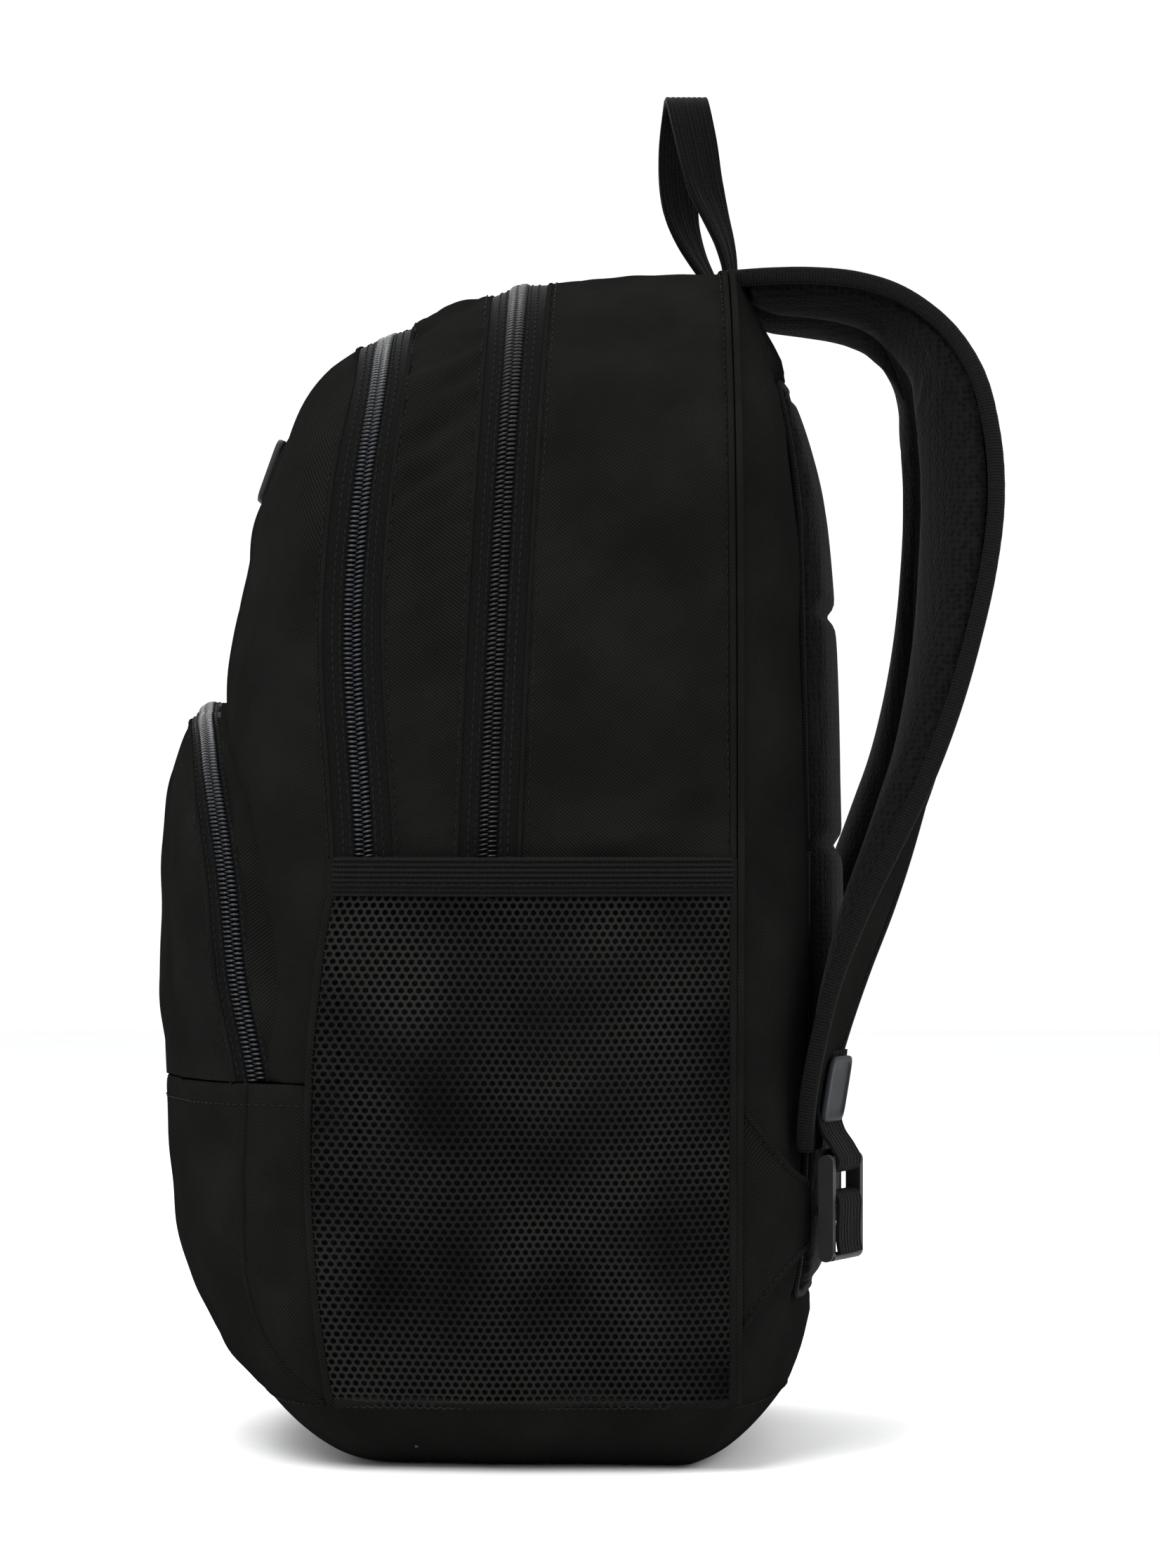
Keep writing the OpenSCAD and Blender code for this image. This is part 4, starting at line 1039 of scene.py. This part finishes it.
for side, sx in (("right", 1), ("left", -1)):
    net = mesh_net("mesh_pocket_net_" + side, sx, POCKET_MESH)
    on_pack(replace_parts(net, "mesh_pocket_" + side))
    band_y = np.linspace(POCKET_Y[0] + 1, POCKET_Y[1], 150)
    band_z = np.linspace(ELASTIC_Z[0], ELASTIC_Z[1] + 0.6, 57)
    band = np.stack(np.broadcast_arrays(0, band_y[None], band_z[:, None]), -1).astype(float)
    rib = 0.6 * np.abs(np.sin(np.pi * (band[..., 2] - band_z[0]) / 2.1)) ** 0.8
    ends = np.clip(np.minimum(POCKET_Y[0] + 1 - band[..., 1], band[..., 1] - POCKET_Y[1]) / 6, 0, 1) ** 0.6
    gather = (0.25 * np.sin(band[..., 1] / 2.3 + 0.6 * np.sin(band[..., 1] / 9))
              * (1 - ramp(band[..., 2], 208, 213)))
    reach = np.array(pocket_x(band[..., 1], np.full(band.shape[:2], ELASTIC_Z[0] - 0.5)))
    band[..., 0] = sx * (reach + rib + gather + 1.0 * ends)
    elastic = sheet("elastic_band_" + side, band, ELASTIC, 1.7)
    on_pack(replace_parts(elastic, "pocket_elastic_" + side))
    low_row = band[18].copy()
    low_row[:, 0] += sx * 0.3
    sideways = np.broadcast_to(np.array([sx, 0, 0.0]), low_row.shape)
    on_pack(stitches("elastic_stitching_" + side, low_row, sideways, THREAD, 2.9))
    z = np.linspace(BASE_Z, ELASTIC_Z[1] + 1, 70)
    for label, y in (("rear", np.full(70, POCKET_Y[0])), ("front", POCKET_Y[1] - pocket_bow(z))):
        edge = np.stack([sx * (side_x(y, z) + 1.7), y, z], -1)
        on_pack(sweep(f"pocket_binding_{label}_{side}", edge, oval(2.8, 1.8, 10, 2.6), CLOTH, up=(sx, 0, 0)))
    foot_y = np.linspace(POCKET_Y[0], POCKET_Y[1], 80)
    foot_line = np.stack([sx * (side_x(foot_y, np.full(80, BASE_Z + 1.5)) + 1.0), foot_y,
                          BASE_Z + 1.5 + 0.8 * np.sin(foot_y / 11)], -1)
    on_pack(sweep("pocket_foot_binding_" + side, foot_line, oval(4.0, 2.4, 10, 2.6), CLOTH, up=(sx, 0, 0)))


# ---------------------------------------------------------------- padding by cloth simulation
def apply_modifiers(piece):
    graph = bpy.context.evaluated_depsgraph_get()
    fresh = bpy.data.meshes.new_from_object(piece.evaluated_get(graph))
    old = piece.data
    piece.modifiers.clear()
    piece.data = fresh
    bpy.data.meshes.remove(old)


def coordinates(mesh):
    flat = np.empty(len(mesh.vertices) * 3)
    mesh.vertices.foreach_get("co", flat)
    return flat.reshape(-1, 3)


def inflate(piece, voxel, pressure, cap, frames=20):
    """Swells a closed soft piece by cloth simulation; cap is the most that a point may move, in metres."""
    remesh = piece.modifiers.new("remesh", "REMESH")
    remesh.mode = "VOXEL"
    remesh.voxel_size = voxel
    apply_modifiers(piece)
    before = coordinates(piece.data)
    cloth = piece.modifiers.new("cloth", "CLOTH")
    cloth.settings.use_pressure = True
    cloth.settings.uniform_pressure_force = pressure
    cloth.settings.effector_weights.gravity = 0
    cloth.settings.quality = 4
    cloth.settings.tension_stiffness = 12
    cloth.settings.compression_stiffness = 12
    cloth.point_cache.frame_end = frames
    for frame_number in range(1, frames + 1):
        bpy.context.scene.frame_set(frame_number)
    graph = bpy.context.evaluated_depsgraph_get()
    moved = coordinates(piece.evaluated_get(graph).data)
    piece.modifiers.clear()
    bpy.context.scene.frame_set(1)
    step = moved - before
    length = np.linalg.norm(step, axis=1, keepdims=True)
    step *= np.minimum(1, cap / np.maximum(length, 1e-9))
    piece.data.vertices.foreach_set("co", (before + step).ravel())
    smooth = piece.modifiers.new("smooth", "SUBSURF")
    smooth.levels = smooth.render_levels = 1
    apply_modifiers(piece)
    piece.data.polygons.foreach_set("use_smooth", [True] * len(piece.data.polygons))
    return piece


def press_in(piece, distance, depth, width, direction):
    """Pulls a sewn channel into a padded piece; distance(points) is in millimetres."""
    points = coordinates(piece.data) / MM
    groove = np.exp(-(distance(points) / width) ** 2) * depth
    points += direction * groove[:, None]
    piece.data.vertices.foreach_set("co", (points * MM).ravel())
    piece.data.update()


# ---------------------------------------------------------------- back panel
def back_width(z):
    half, top, radius, _ = BACK_SEAM
    turn = top - CROWN - radius
    rise = np.clip((z - turn) / radius, 0, 1)
    return half - radius + radius * np.sqrt(1 - rise ** 2) - slim(z)


def back_surface(u, z, drop=0.0):
    """The back panel: u is -1 to 1 across it, and it curves forward to the back seam."""
    edge = 66.5
    face = smooth_at(z, BACK_FACE) - drop
    y = face - (face - edge) * np.abs(u) ** 3
    return np.stack([u * back_width(z), y, z + 0 * u], -1)


u_grid, z_grid = np.meshgrid(np.linspace(-1, 1, 81), np.concatenate(
    [np.linspace(BASE_Z, 408, 90), np.linspace(410, 437.2, 18)]), indexing="ij")
pad_zone = (ramp(107 - np.abs(u_grid * back_width(z_grid)), 0, 6) * ramp(z_grid, 52, 60)
            * ramp(402 - z_grid, 0, 8))
back = back_surface(u_grid, z_grid, 4.0 * pad_zone)
back = crumple(back, 101, 0.8, 66, edge_fade(back.shape, 0.1, 0.04) * ramp(1 - np.abs(u_grid), 0, 0.15))
back_cloth = sheet("back_panel_cloth", back, CLOTH, 1.8, outward=np.array([0, 1.0, 0]) + 0 * back)
on_pack(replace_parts(back_cloth, "back_panel"))

PAD_IN, PAD_OUT, PAD_LOW, PAD_HIGH = 15.0, 99.0, 62.0, 392.0
for side, sx in (("right", 1), ("left", -1)):
    a = np.linspace(0, 1, 25)
    b = np.linspace(0, 1, 70)
    across, up = np.meshgrid(a, b, indexing="ij")
    corner = 1 - 0.5 * (np.abs(2 * up - 1) ** 14)
    middle = (PAD_IN + PAD_OUT) / 2
    x = (middle + (across - 0.5) * (PAD_OUT - PAD_IN) * corner
         * (1 - 0.16 * ramp(up, 0.55, 1) * (across > 0.5)))
    z = PAD_LOW + (PAD_HIGH - PAD_LOW) * up
    share = x / back_width(z)
    dome = np.clip(np.minimum(np.minimum(across, 1 - across) / 0.16,
                       np.minimum(up, 1 - up) / 0.12), 0, 1) ** 0.6
    face = back_surface(share, z)
    pad_grid = face + np.stack([0 * x, -4.2 + 4.0 * dome, 0 * x], -1)
    pad_grid[..., 0] *= sx
    pad = sheet("back_pad_" + side, pad_grid, PAD_MESH, 6.0, outward=np.array([0, 1.0, 0]) + 0 * pad_grid)
    inflate(pad, 0.004, 4.0, 0.0022)
    for height in (140, 225, 310):
        press_in(pad, lambda p, h=height: p[:, 2] - h - 0.06 * (np.abs(p[:, 0]) - 57),
                 3.2, 3.2, np.array([0, -1.0, 0]))
        line_x = np.linspace(PAD_IN + 3, PAD_OUT - 5, 40)
        line_z = height + 0.06 * (line_x - 57)
        line = back_surface(line_x / back_width(line_z), line_z) + [0, -3.2, 0]
        line[:, 0] *= sx
        on_pack(stitches(f"back_pad_stitching_{side}_{height}", line,
                         np.broadcast_to(np.array([0, 1.0, 0]), line.shape), THREAD))
    on_pack(pad)
    edge_a = np.linspace(0, 2 * np.pi, 220)
    outline = np.stack([np.sign(np.cos(edge_a)) * np.abs(np.cos(edge_a)) ** 0.16,
                        np.sign(np.sin(edge_a)) * np.abs(np.sin(edge_a)) ** 0.10], -1)
    rim_z = (PAD_LOW + PAD_HIGH) / 2 + outline[:, 1] * ((PAD_HIGH - PAD_LOW) / 2 + 1.5)
    up_share = (rim_z - PAD_LOW) / (PAD_HIGH - PAD_LOW)
    narrow = np.where(outline[:, 0] > 0, 1 - 0.16 * ramp(up_share, 0.55, 1), 1)
    rim_x = middle + outline[:, 0] * ((PAD_OUT - PAD_IN) / 2 + 1.5) * narrow
    rim = back_surface(rim_x / back_width(rim_z), rim_z, 3.2)
    rim[:, 0] *= sx
    on_pack(sweep("back_pad_piping_" + side, rim, oval(3.2, 2.8, 8), BINDING, up=(0, 1, 0)))

# ---------------------------------------------------------------- shoulder straps
# Centre line of the right strap, the roll of its width in degrees, and its share of the full width
STRAP_LINE = [
    ((48, 64, 431.5), 0, 0.98), ((49, 80, 432.5), 0, 1), ((51, 95, 432.5), -1, 1), ((52, 110, 430.8), -3, 1),
    ((53, 121, 427), -6, 1), ((57, 134, 416.5), -11, 1), ((64, 144.5, 399), -15, 1),
    ((70, 149.8, 375), -17, 1),
    ((76, 151.0, 350), -17, 1), ((81, 149.4, 325), -14, 1), ((86, 146.2, 300), -9, 1),
    ((90, 141.5, 275), -4, 1),
    ((94, 135.2, 250), 2, 1), ((97, 126.3, 226), 7, 0.98), ((100, 116.4, 202), 11, 0.95),
    ((103, 106.8, 178), 12, 0.9), ((105, 99.5, 154), 11, 0.8), ((107, 94.5, 132), 10, 0.64),
    ((108, 93, 121), 10, 0.5), ((108, 92.5, 115), 10, 0.42)]
STRAP_W = 64.0


def spline(rows, count):
    """A smooth curve through rows of values, evenly spaced by the first three."""
    rows = np.array(rows, float)
    run = np.concatenate([[0], np.cumsum(np.linalg.norm(np.diff(rows[:, :3], axis=0), axis=-1))])
    at = np.linspace(0, run[-1], count)
    return np.stack([smooth_at(at, np.stack([run, rows[:, k]], -1)) for k in range(rows.shape[1])], -1)


strap_rows = spline([(*p, roll, share) for p, roll, share in STRAP_LINE], 170)
strap_path = strap_rows[:, :3]
roll = np.radians(strap_rows[:, 3])
strap_half = strap_rows[:, 4] * STRAP_W / 2
strap_across = np.stack([np.cos(roll), -np.sin(roll), 0 * roll], -1)
strap_tangent = unit(np.gradient(strap_path, axis=0))
strap_inward = unit(np.cross(strap_tangent, strap_across))


def on_strap(across, inward, first=0, last=None):
    """Points at a distance across the strap and towards the wearer's side, for every step along it."""
    part = slice(first, last)
    a = np.asarray(across, float)
    b = np.asarray(inward, float)
    return (strap_path[part, None] + strap_across[part, None] * a[..., None]
            + strap_inward[part, None] * b[..., None])


wave_along = np.arange(len(strap_path))[:, None]
for side, sx in (("right", 1), ("left", -1)):
    mirror = np.array([sx, 1, 1.0])

    def swings(piece):
        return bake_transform(piece)

    c = np.linspace(-1, 1, 33)[None]
    wide = c * (strap_half[:, None] - 0.8)
    crown_in = -2.6 - 1.9 * (1 - np.abs(c) ** 2.4)
    ripples = 0.22 * ripple(np.stack([wide, wave_along * 3.0 + 0 * wide, 0 * wide], -1), 34, 121 + sx)
    cover = on_strap(wide, crown_in + ripples) * mirror
    cover_piece = sheet("strap_cover_" + side, cover, STRAP_CLOTH, 1.4,
                        outward=-(strap_inward * mirror)[:, None] + 0 * cover)
    swings(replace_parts(cover_piece, "shoulder_strap_" + side, "strap_head_" + side))

    turn = np.linspace(0, 2 * np.pi, 28, endpoint=False)
    pad_a = np.cos(turn)
    pad_b = np.where(np.sin(turn) > 0, np.abs(np.sin(turn)) ** 0.8 * 11.5, -1.6 * np.abs(np.sin(turn)) ** 0.6)
    thin = np.interp(strap_path[:, 2], [126, 154, 178, 202, 240], [0.16, 0.3, 0.5, 0.8, 1])[:, None]
    thin = thin * (0.3 + 0.7 * ramp(wave_along, -1, 9))
    keep = slice(3, len(strap_path) - 5)
    pad_rings = on_strap((strap_half - 4.0)[:, None] * pad_a[None], pad_b[None] * thin)[keep] * mirror
    strap_pad = ring_mesh("strap_pad_" + side, pad_rings, PAD_MESH)
    inflate(strap_pad, 0.0034, 3.0, 0.0016)
    swings(strap_pad)

    for edge_name, es in (("outer", 1), ("inner", -1)):
        edge_path = (strap_path + strap_across * (es * (strap_half - 0.4))[:, None]
                     - strap_inward * 0.9) * mirror
        ridge = 1 + 0.10 * np.sin(np.arange(len(edge_path)) * 2.4)[:, None]
        size = np.concatenate([ridge, np.ones_like(ridge)], 1)
        swings(sweep(f"strap_binding_{edge_name}_{side}", edge_path, oval(4.4, 6.4, 12, 2.6), BINDING,
                     up=-strap_inward * mirror, scale=size))
        row = on_strap((es * (strap_half - 3.9))[:, None],
                       np.full((len(strap_path), 1), -3.35))[4:-3, 0] * mirror
        swings(stitches(f"strap_stitching_{edge_name}_{side}", row, -strap_inward[4:-3] * mirror, THREAD))


# ---------------------------------------------------------------- buckles and their webbing
# Middle of the buckle's upper bar, how far the buckle is turned about Z, the radius of the
# webbing's turn round a bar, and the webbing's width
BUCKLE_AT = np.array([110, 104.5, 110.5])
BUCKLE_TURN = math.radians(-22)
BAR_LOOP = 3.15
WEB_W = 24.0


def at_buckle(points, sx):
    """Points of the buckle's own frame: x across the webbing, y away from the back, z up."""
    points = np.asarray(points, float)
    c, s = math.cos(BUCKLE_TURN), math.sin(BUCKLE_TURN)
    turned = np.stack([c * points[..., 0] - s * points[..., 1], s * points[..., 0] + c * points[..., 1],
                       points[..., 2]], -1)
    return (turned + BUCKLE_AT) * [sx, 1, 1]


def web_section(width, thickness, ribs=9):
    """Outline of a strip of webbing with lengthwise ribs."""
    across = np.linspace(-width / 2, width / 2, ribs * 6 + 1)
    ridge = thickness / 2 - 0.16 + 0.24 * np.abs(np.sin(np.pi * ribs * (across / width + 0.5)))
    ridge[0] = ridge[-1] = thickness / 4
    top = np.stack([across, ridge], -1)
    return np.concatenate([top, top[::-1] * [1, -1]])


def webbing(name, route, sx, width=WEB_W, thickness=1.5):
    """Webbing that follows a route of (y, z) points in the buckle's frame."""
    smooth_route = spline([(0, y, z) for y, z in route], max(8, int(len(route) * 9)))
    direction = unit(np.gradient(smooth_route, axis=0))
    normal = np.stack([0 * direction[:, 0], -direction[:, 2], direction[:, 1]], -1)
    up = at_buckle(smooth_route + normal, sx) - at_buckle(smooth_route, sx)
    return sweep(name, at_buckle(smooth_route, sx), web_section(width, thickness), WEBBING, up=up)


def around(centre, start, stop, count=7):
    """Points of the webbing's turn round a bar, between two angles in degrees."""
    angle = np.radians(np.linspace(start, stop, count))
    return [(centre[0] + BAR_LOOP * math.cos(t), centre[1] + BAR_LOOP * math.sin(t)) for t in angle]


def plaque(name, width, height, thickness, place, material, rim=0.5):
    """A moulded patch with rounded corners, a raised border and a soft edge."""
    a = np.linspace(0, 2 * np.pi, 72, endpoint=False)
    shape = np.stack([np.sign(np.cos(a)) * np.abs(np.cos(a)) ** 0.3,
                      np.sign(np.sin(a)) * np.abs(np.sin(a)) ** 0.3], -1)
    profile = [(0.0, 0), (0.55, 0), (0.80, 0), (0.84, rim), (0.92, rim), (0.985, rim * 0.5), (1.0, -0.4),
               (1.0, 0.3 - thickness), (0.97, -thickness), (0.0, -thickness)]
    rings = [np.stack([shape[:, 0] * width / 2 * max(r, 0.01), shape[:, 1] * height / 2 * max(r, 0.01),
                       np.full(72, float(h))], -1) for r, h in profile]
    local = np.array(rings)
    return ring_mesh(name, place(local), material)


for side, sx in (("right", 1), ("left", -1)):
    upper = webbing("strap_webbing_cloth_" + side,
                    [(-2.2, 40), (-2.8, 35), (-4.2, 26), (-5.0, 18), (-3.2, 11), (0.9, 5)]
                    + around((0, 0), 0, -180)
                    + [(-BAR_LOOP, 4.5)], sx)
    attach(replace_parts(upper, "strap_webbing_" + side), "strap_" + side)
    lower = webbing("adjuster_webbing_cloth_" + side,
                    [(-6.6, -19.2), (-5.0, -16.6)] + around((0, -14), 180, 0)
                    + [(BAR_LOOP, -19), (BAR_LOOP - 0.2, -24), (BAR_LOOP - 0.1, -29),
                       (BAR_LOOP + 0.6, -33)], sx)
    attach(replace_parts(lower, "adjuster_webbing_" + side), "ladder_lock_" + side)

    # Cloth wing that the adjusting webbing is sewn to
    s, t = np.meshgrid(np.linspace(0, 1, 30), np.linspace(0, 1, 34), indexing="ij")
    seam_z = 131 - 79 * s
    seam_point = np.stack([(back_width(seam_z) - 0.8), np.full(s.shape, 67.6), seam_z], -1)
    tip_point = np.stack([114.5 - 2 * s, 93.6 - 0 * s, 102.5 - 22 * s], -1)
    wing = seam_point * (1 - t[..., None]) + tip_point * t[..., None]
    wing += np.stack([3.4 * np.sin(np.pi * t), 2.6 * np.sin(np.pi * t),
                     -7 * np.sin(np.pi * t) * (0.5 - s) * 1.6], -1)
    wing += (ripple(wing, 26, 131) * 0.55 * np.sin(np.pi * t))[..., None] * np.array([0.7, 0.7, 0])
    wing *= [sx, 1, 1]
    wing_piece = sheet("anchor_wing_cloth_" + side, wing, CLOTH, 1.8,
                       outward=np.array([sx * 1.0, 1.0, 0]) + 0 * wing)
    on_pack(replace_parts(wing_piece, "anchor_wing_" + side))
    for label, row in (("upper", 1), ("lower", -2)):
        path = wing[row][:31]
        normal = np.broadcast_to(unit(np.array([sx * 1.0, 1.0, 0])), path.shape)
        on_pack(stitches(f"anchor_wing_stitching_{label}_{side}", path + normal * 0.4, normal, THREAD))
        border = wing[0 if row == 1 else -1][:31]
        on_pack(sweep(f"anchor_wing_edge_{label}_{side}", border, oval(2.4, 2.4, 8), CLOTH, up=normal[0]))


def label_place(local):
    """The label's own points, laid on the right strap just above the buckle."""
    turned = np.stack([local[..., 0], 0.17 * local[..., 1] - 1.2 + local[..., 2], 26 + local[..., 1]], -1)
    return at_buckle(turned, 1)


label = plaque("strap_label_rubber", 22, 24, 1.3, label_place, RUBBER)
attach(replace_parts(label, "strap_label"), "strap_right")

# ---------------------------------------------------------------- haul loop
NEAR_LEG = [(432, 66.5), (440, 66), (449, 64.2), (460, 60.5), (469, 57.5), (489, 53.5), (507, 50)]
FAR_LEG = [(432, 64), (440, 60), (449, 55), (460, 50.5), (469, 48.5), (489, 48), (507, 50)]
half_loop = np.linspace(0, 1, 60)
leg_angle = half_loop * np.pi / 2
leg_x = 33 * np.cos(leg_angle) ** 0.62
leg_z = 432 + 74 * np.sin(leg_angle) ** 1.15
near_half = np.stack([leg_x, smooth_at(leg_z, NEAR_LEG), leg_z], -1)
far_half = np.stack([-leg_x, smooth_at(leg_z, FAR_LEG), leg_z], -1)
loop_path = resample(np.concatenate([near_half, far_half[::-1][1:]]), 1.6)
loop_tangent = unit(np.gradient(loop_path, axis=0))
tilt = np.radians(np.interp(loop_path[:, 2], [432, 440, 449, 460, 469, 489, 506],
                            [78, 74, 65, 50, 34, 12, 0]))
tilt *= np.sign(loop_path[:, 0])
hoop_out = unit(np.cross(loop_tangent, [0, 1.0, 0]))
loop_across = unit(np.cos(tilt)[:, None] * np.array([0, 1.0, 0]) + np.sin(tilt)[:, None] * hoop_out)
loop_up = unit(np.cross(loop_across, loop_tangent))
haul = sweep("haul_loop_webbing", loop_path, web_section(16, 2.4, 8), WEBBING, up=loop_up)
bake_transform(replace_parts(haul, "haul_loop"))

# ---------------------------------------------------------------- patch on the front, and the lining inside
tree_points = [Vector(p) for p in front.reshape(-1, 3)]
tree_faces = [tuple(map(int, f)) for f in quads(*front.shape[:2])]
face_tree = BVHTree.FromPolygons(tree_points, tree_faces)


def on_front(x, z):
    hit, normal, _, _ = face_tree.ray_cast(Vector((x, -400, z)), Vector((0, 1, 0)))
    return (hit, normal) if hit is not None else (Vector((x, -100, z)), Vector((0, -1, 0)))


PATCH_Z = 365.0
middle_hit, _ = on_front(0, PATCH_Z)
above_hit, _ = on_front(0, PATCH_Z + 8)
below_hit, _ = on_front(0, PATCH_Z - 8)
patch_up = unit(np.array(above_hit) - np.array(below_hit))
patch_out = np.cross(patch_up, [1.0, 0, 0])
patch_out = patch_out * (1 if patch_out[1] < 0 else -1)


def patch_place(local):
    return (np.array(middle_hit) + patch_out * 0.7 + local[..., :1] * np.array([1.0, 0, 0])
            + local[..., 1:2] * patch_up + local[..., 2:] * patch_out)


patch = plaque("front_patch_rubber", 52, 25, 2.2, patch_place, PATCH)
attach(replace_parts(patch, "front_patch"), "front_section")


def lining_sheet(name, node, seed, body_call, inset=0.0):
    """A hanging panel of lining in the space of a CAD node, with a bound top edge."""
    low, high = node_box(node)
    xs = np.linspace(low[0] + inset, high[0] - inset, 60)
    zs = np.linspace(low[2], high[2], 50)
    middle_y = (low[1] + high[1]) / 2
    g = np.stack(np.broadcast_arrays(xs[:, None], middle_y, zs[None]), -1).astype(float)
    g[..., 1] += ripple(g, 90, seed) * 1.1
    piece = sheet(name, g, LINING, 1.2, outward=np.array([0, -1.0, 0]) + 0 * g)
    body_call(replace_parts(piece, node))
    top_edge = g[:, -1]
    body_call(sweep(name + "_binding", top_edge, oval(2.6, 5, 10, 2.6), BINDING, up=(0, 0, 1)))
    return piece


def on_front_section(piece):
    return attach(piece, "front_section")


lining_sheet("laptop_sleeve_cloth", "laptop_sleeve", 141, on_pack)
lining_sheet("divider_lower_cloth", "divider_lower", 142, on_pack)
lining_sheet("divider_upper_cloth", "divider_panel", 143, on_front_section)
u_in, z_in = np.meshgrid(np.linspace(-0.95, 0.95, 50), np.linspace(34, 424, 70), indexing="ij")
inner = back_surface(u_in, z_in)
inner[..., 1] = np.minimum(inner[..., 1] - 12, 74) - 6 * np.abs(u_in) ** 3
inner[..., 1] += ripple(inner, 80, 151) * 0.8
back_lining = sheet("back_lining_cloth", inner, LINING, 1.2, outward=np.array([0, -1.0, 0]) + 0 * inner)
on_pack(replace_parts(back_lining, "back_foam"))
x_in, z_low = np.meshgrid(np.linspace(-84, 84, 40), np.linspace(40, 178, 40), indexing="ij")
pocket_back = np.stack([x_in, np.interp(z_low, [40, 60, 178], [-108, -113, -117])
                             + 6 * (np.abs(x_in) / 84) ** 4, z_low], -1)
pocket_back[..., 1] += ripple(pocket_back, 70, 161) * 0.7
pocket_lining = sheet("front_panel_lining", pocket_back, LINING, 1.2,
                       outward=np.array([0, -1.0, 0]) + 0 * pocket_back)
tips(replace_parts(pocket_lining, "front_panel_lower"))
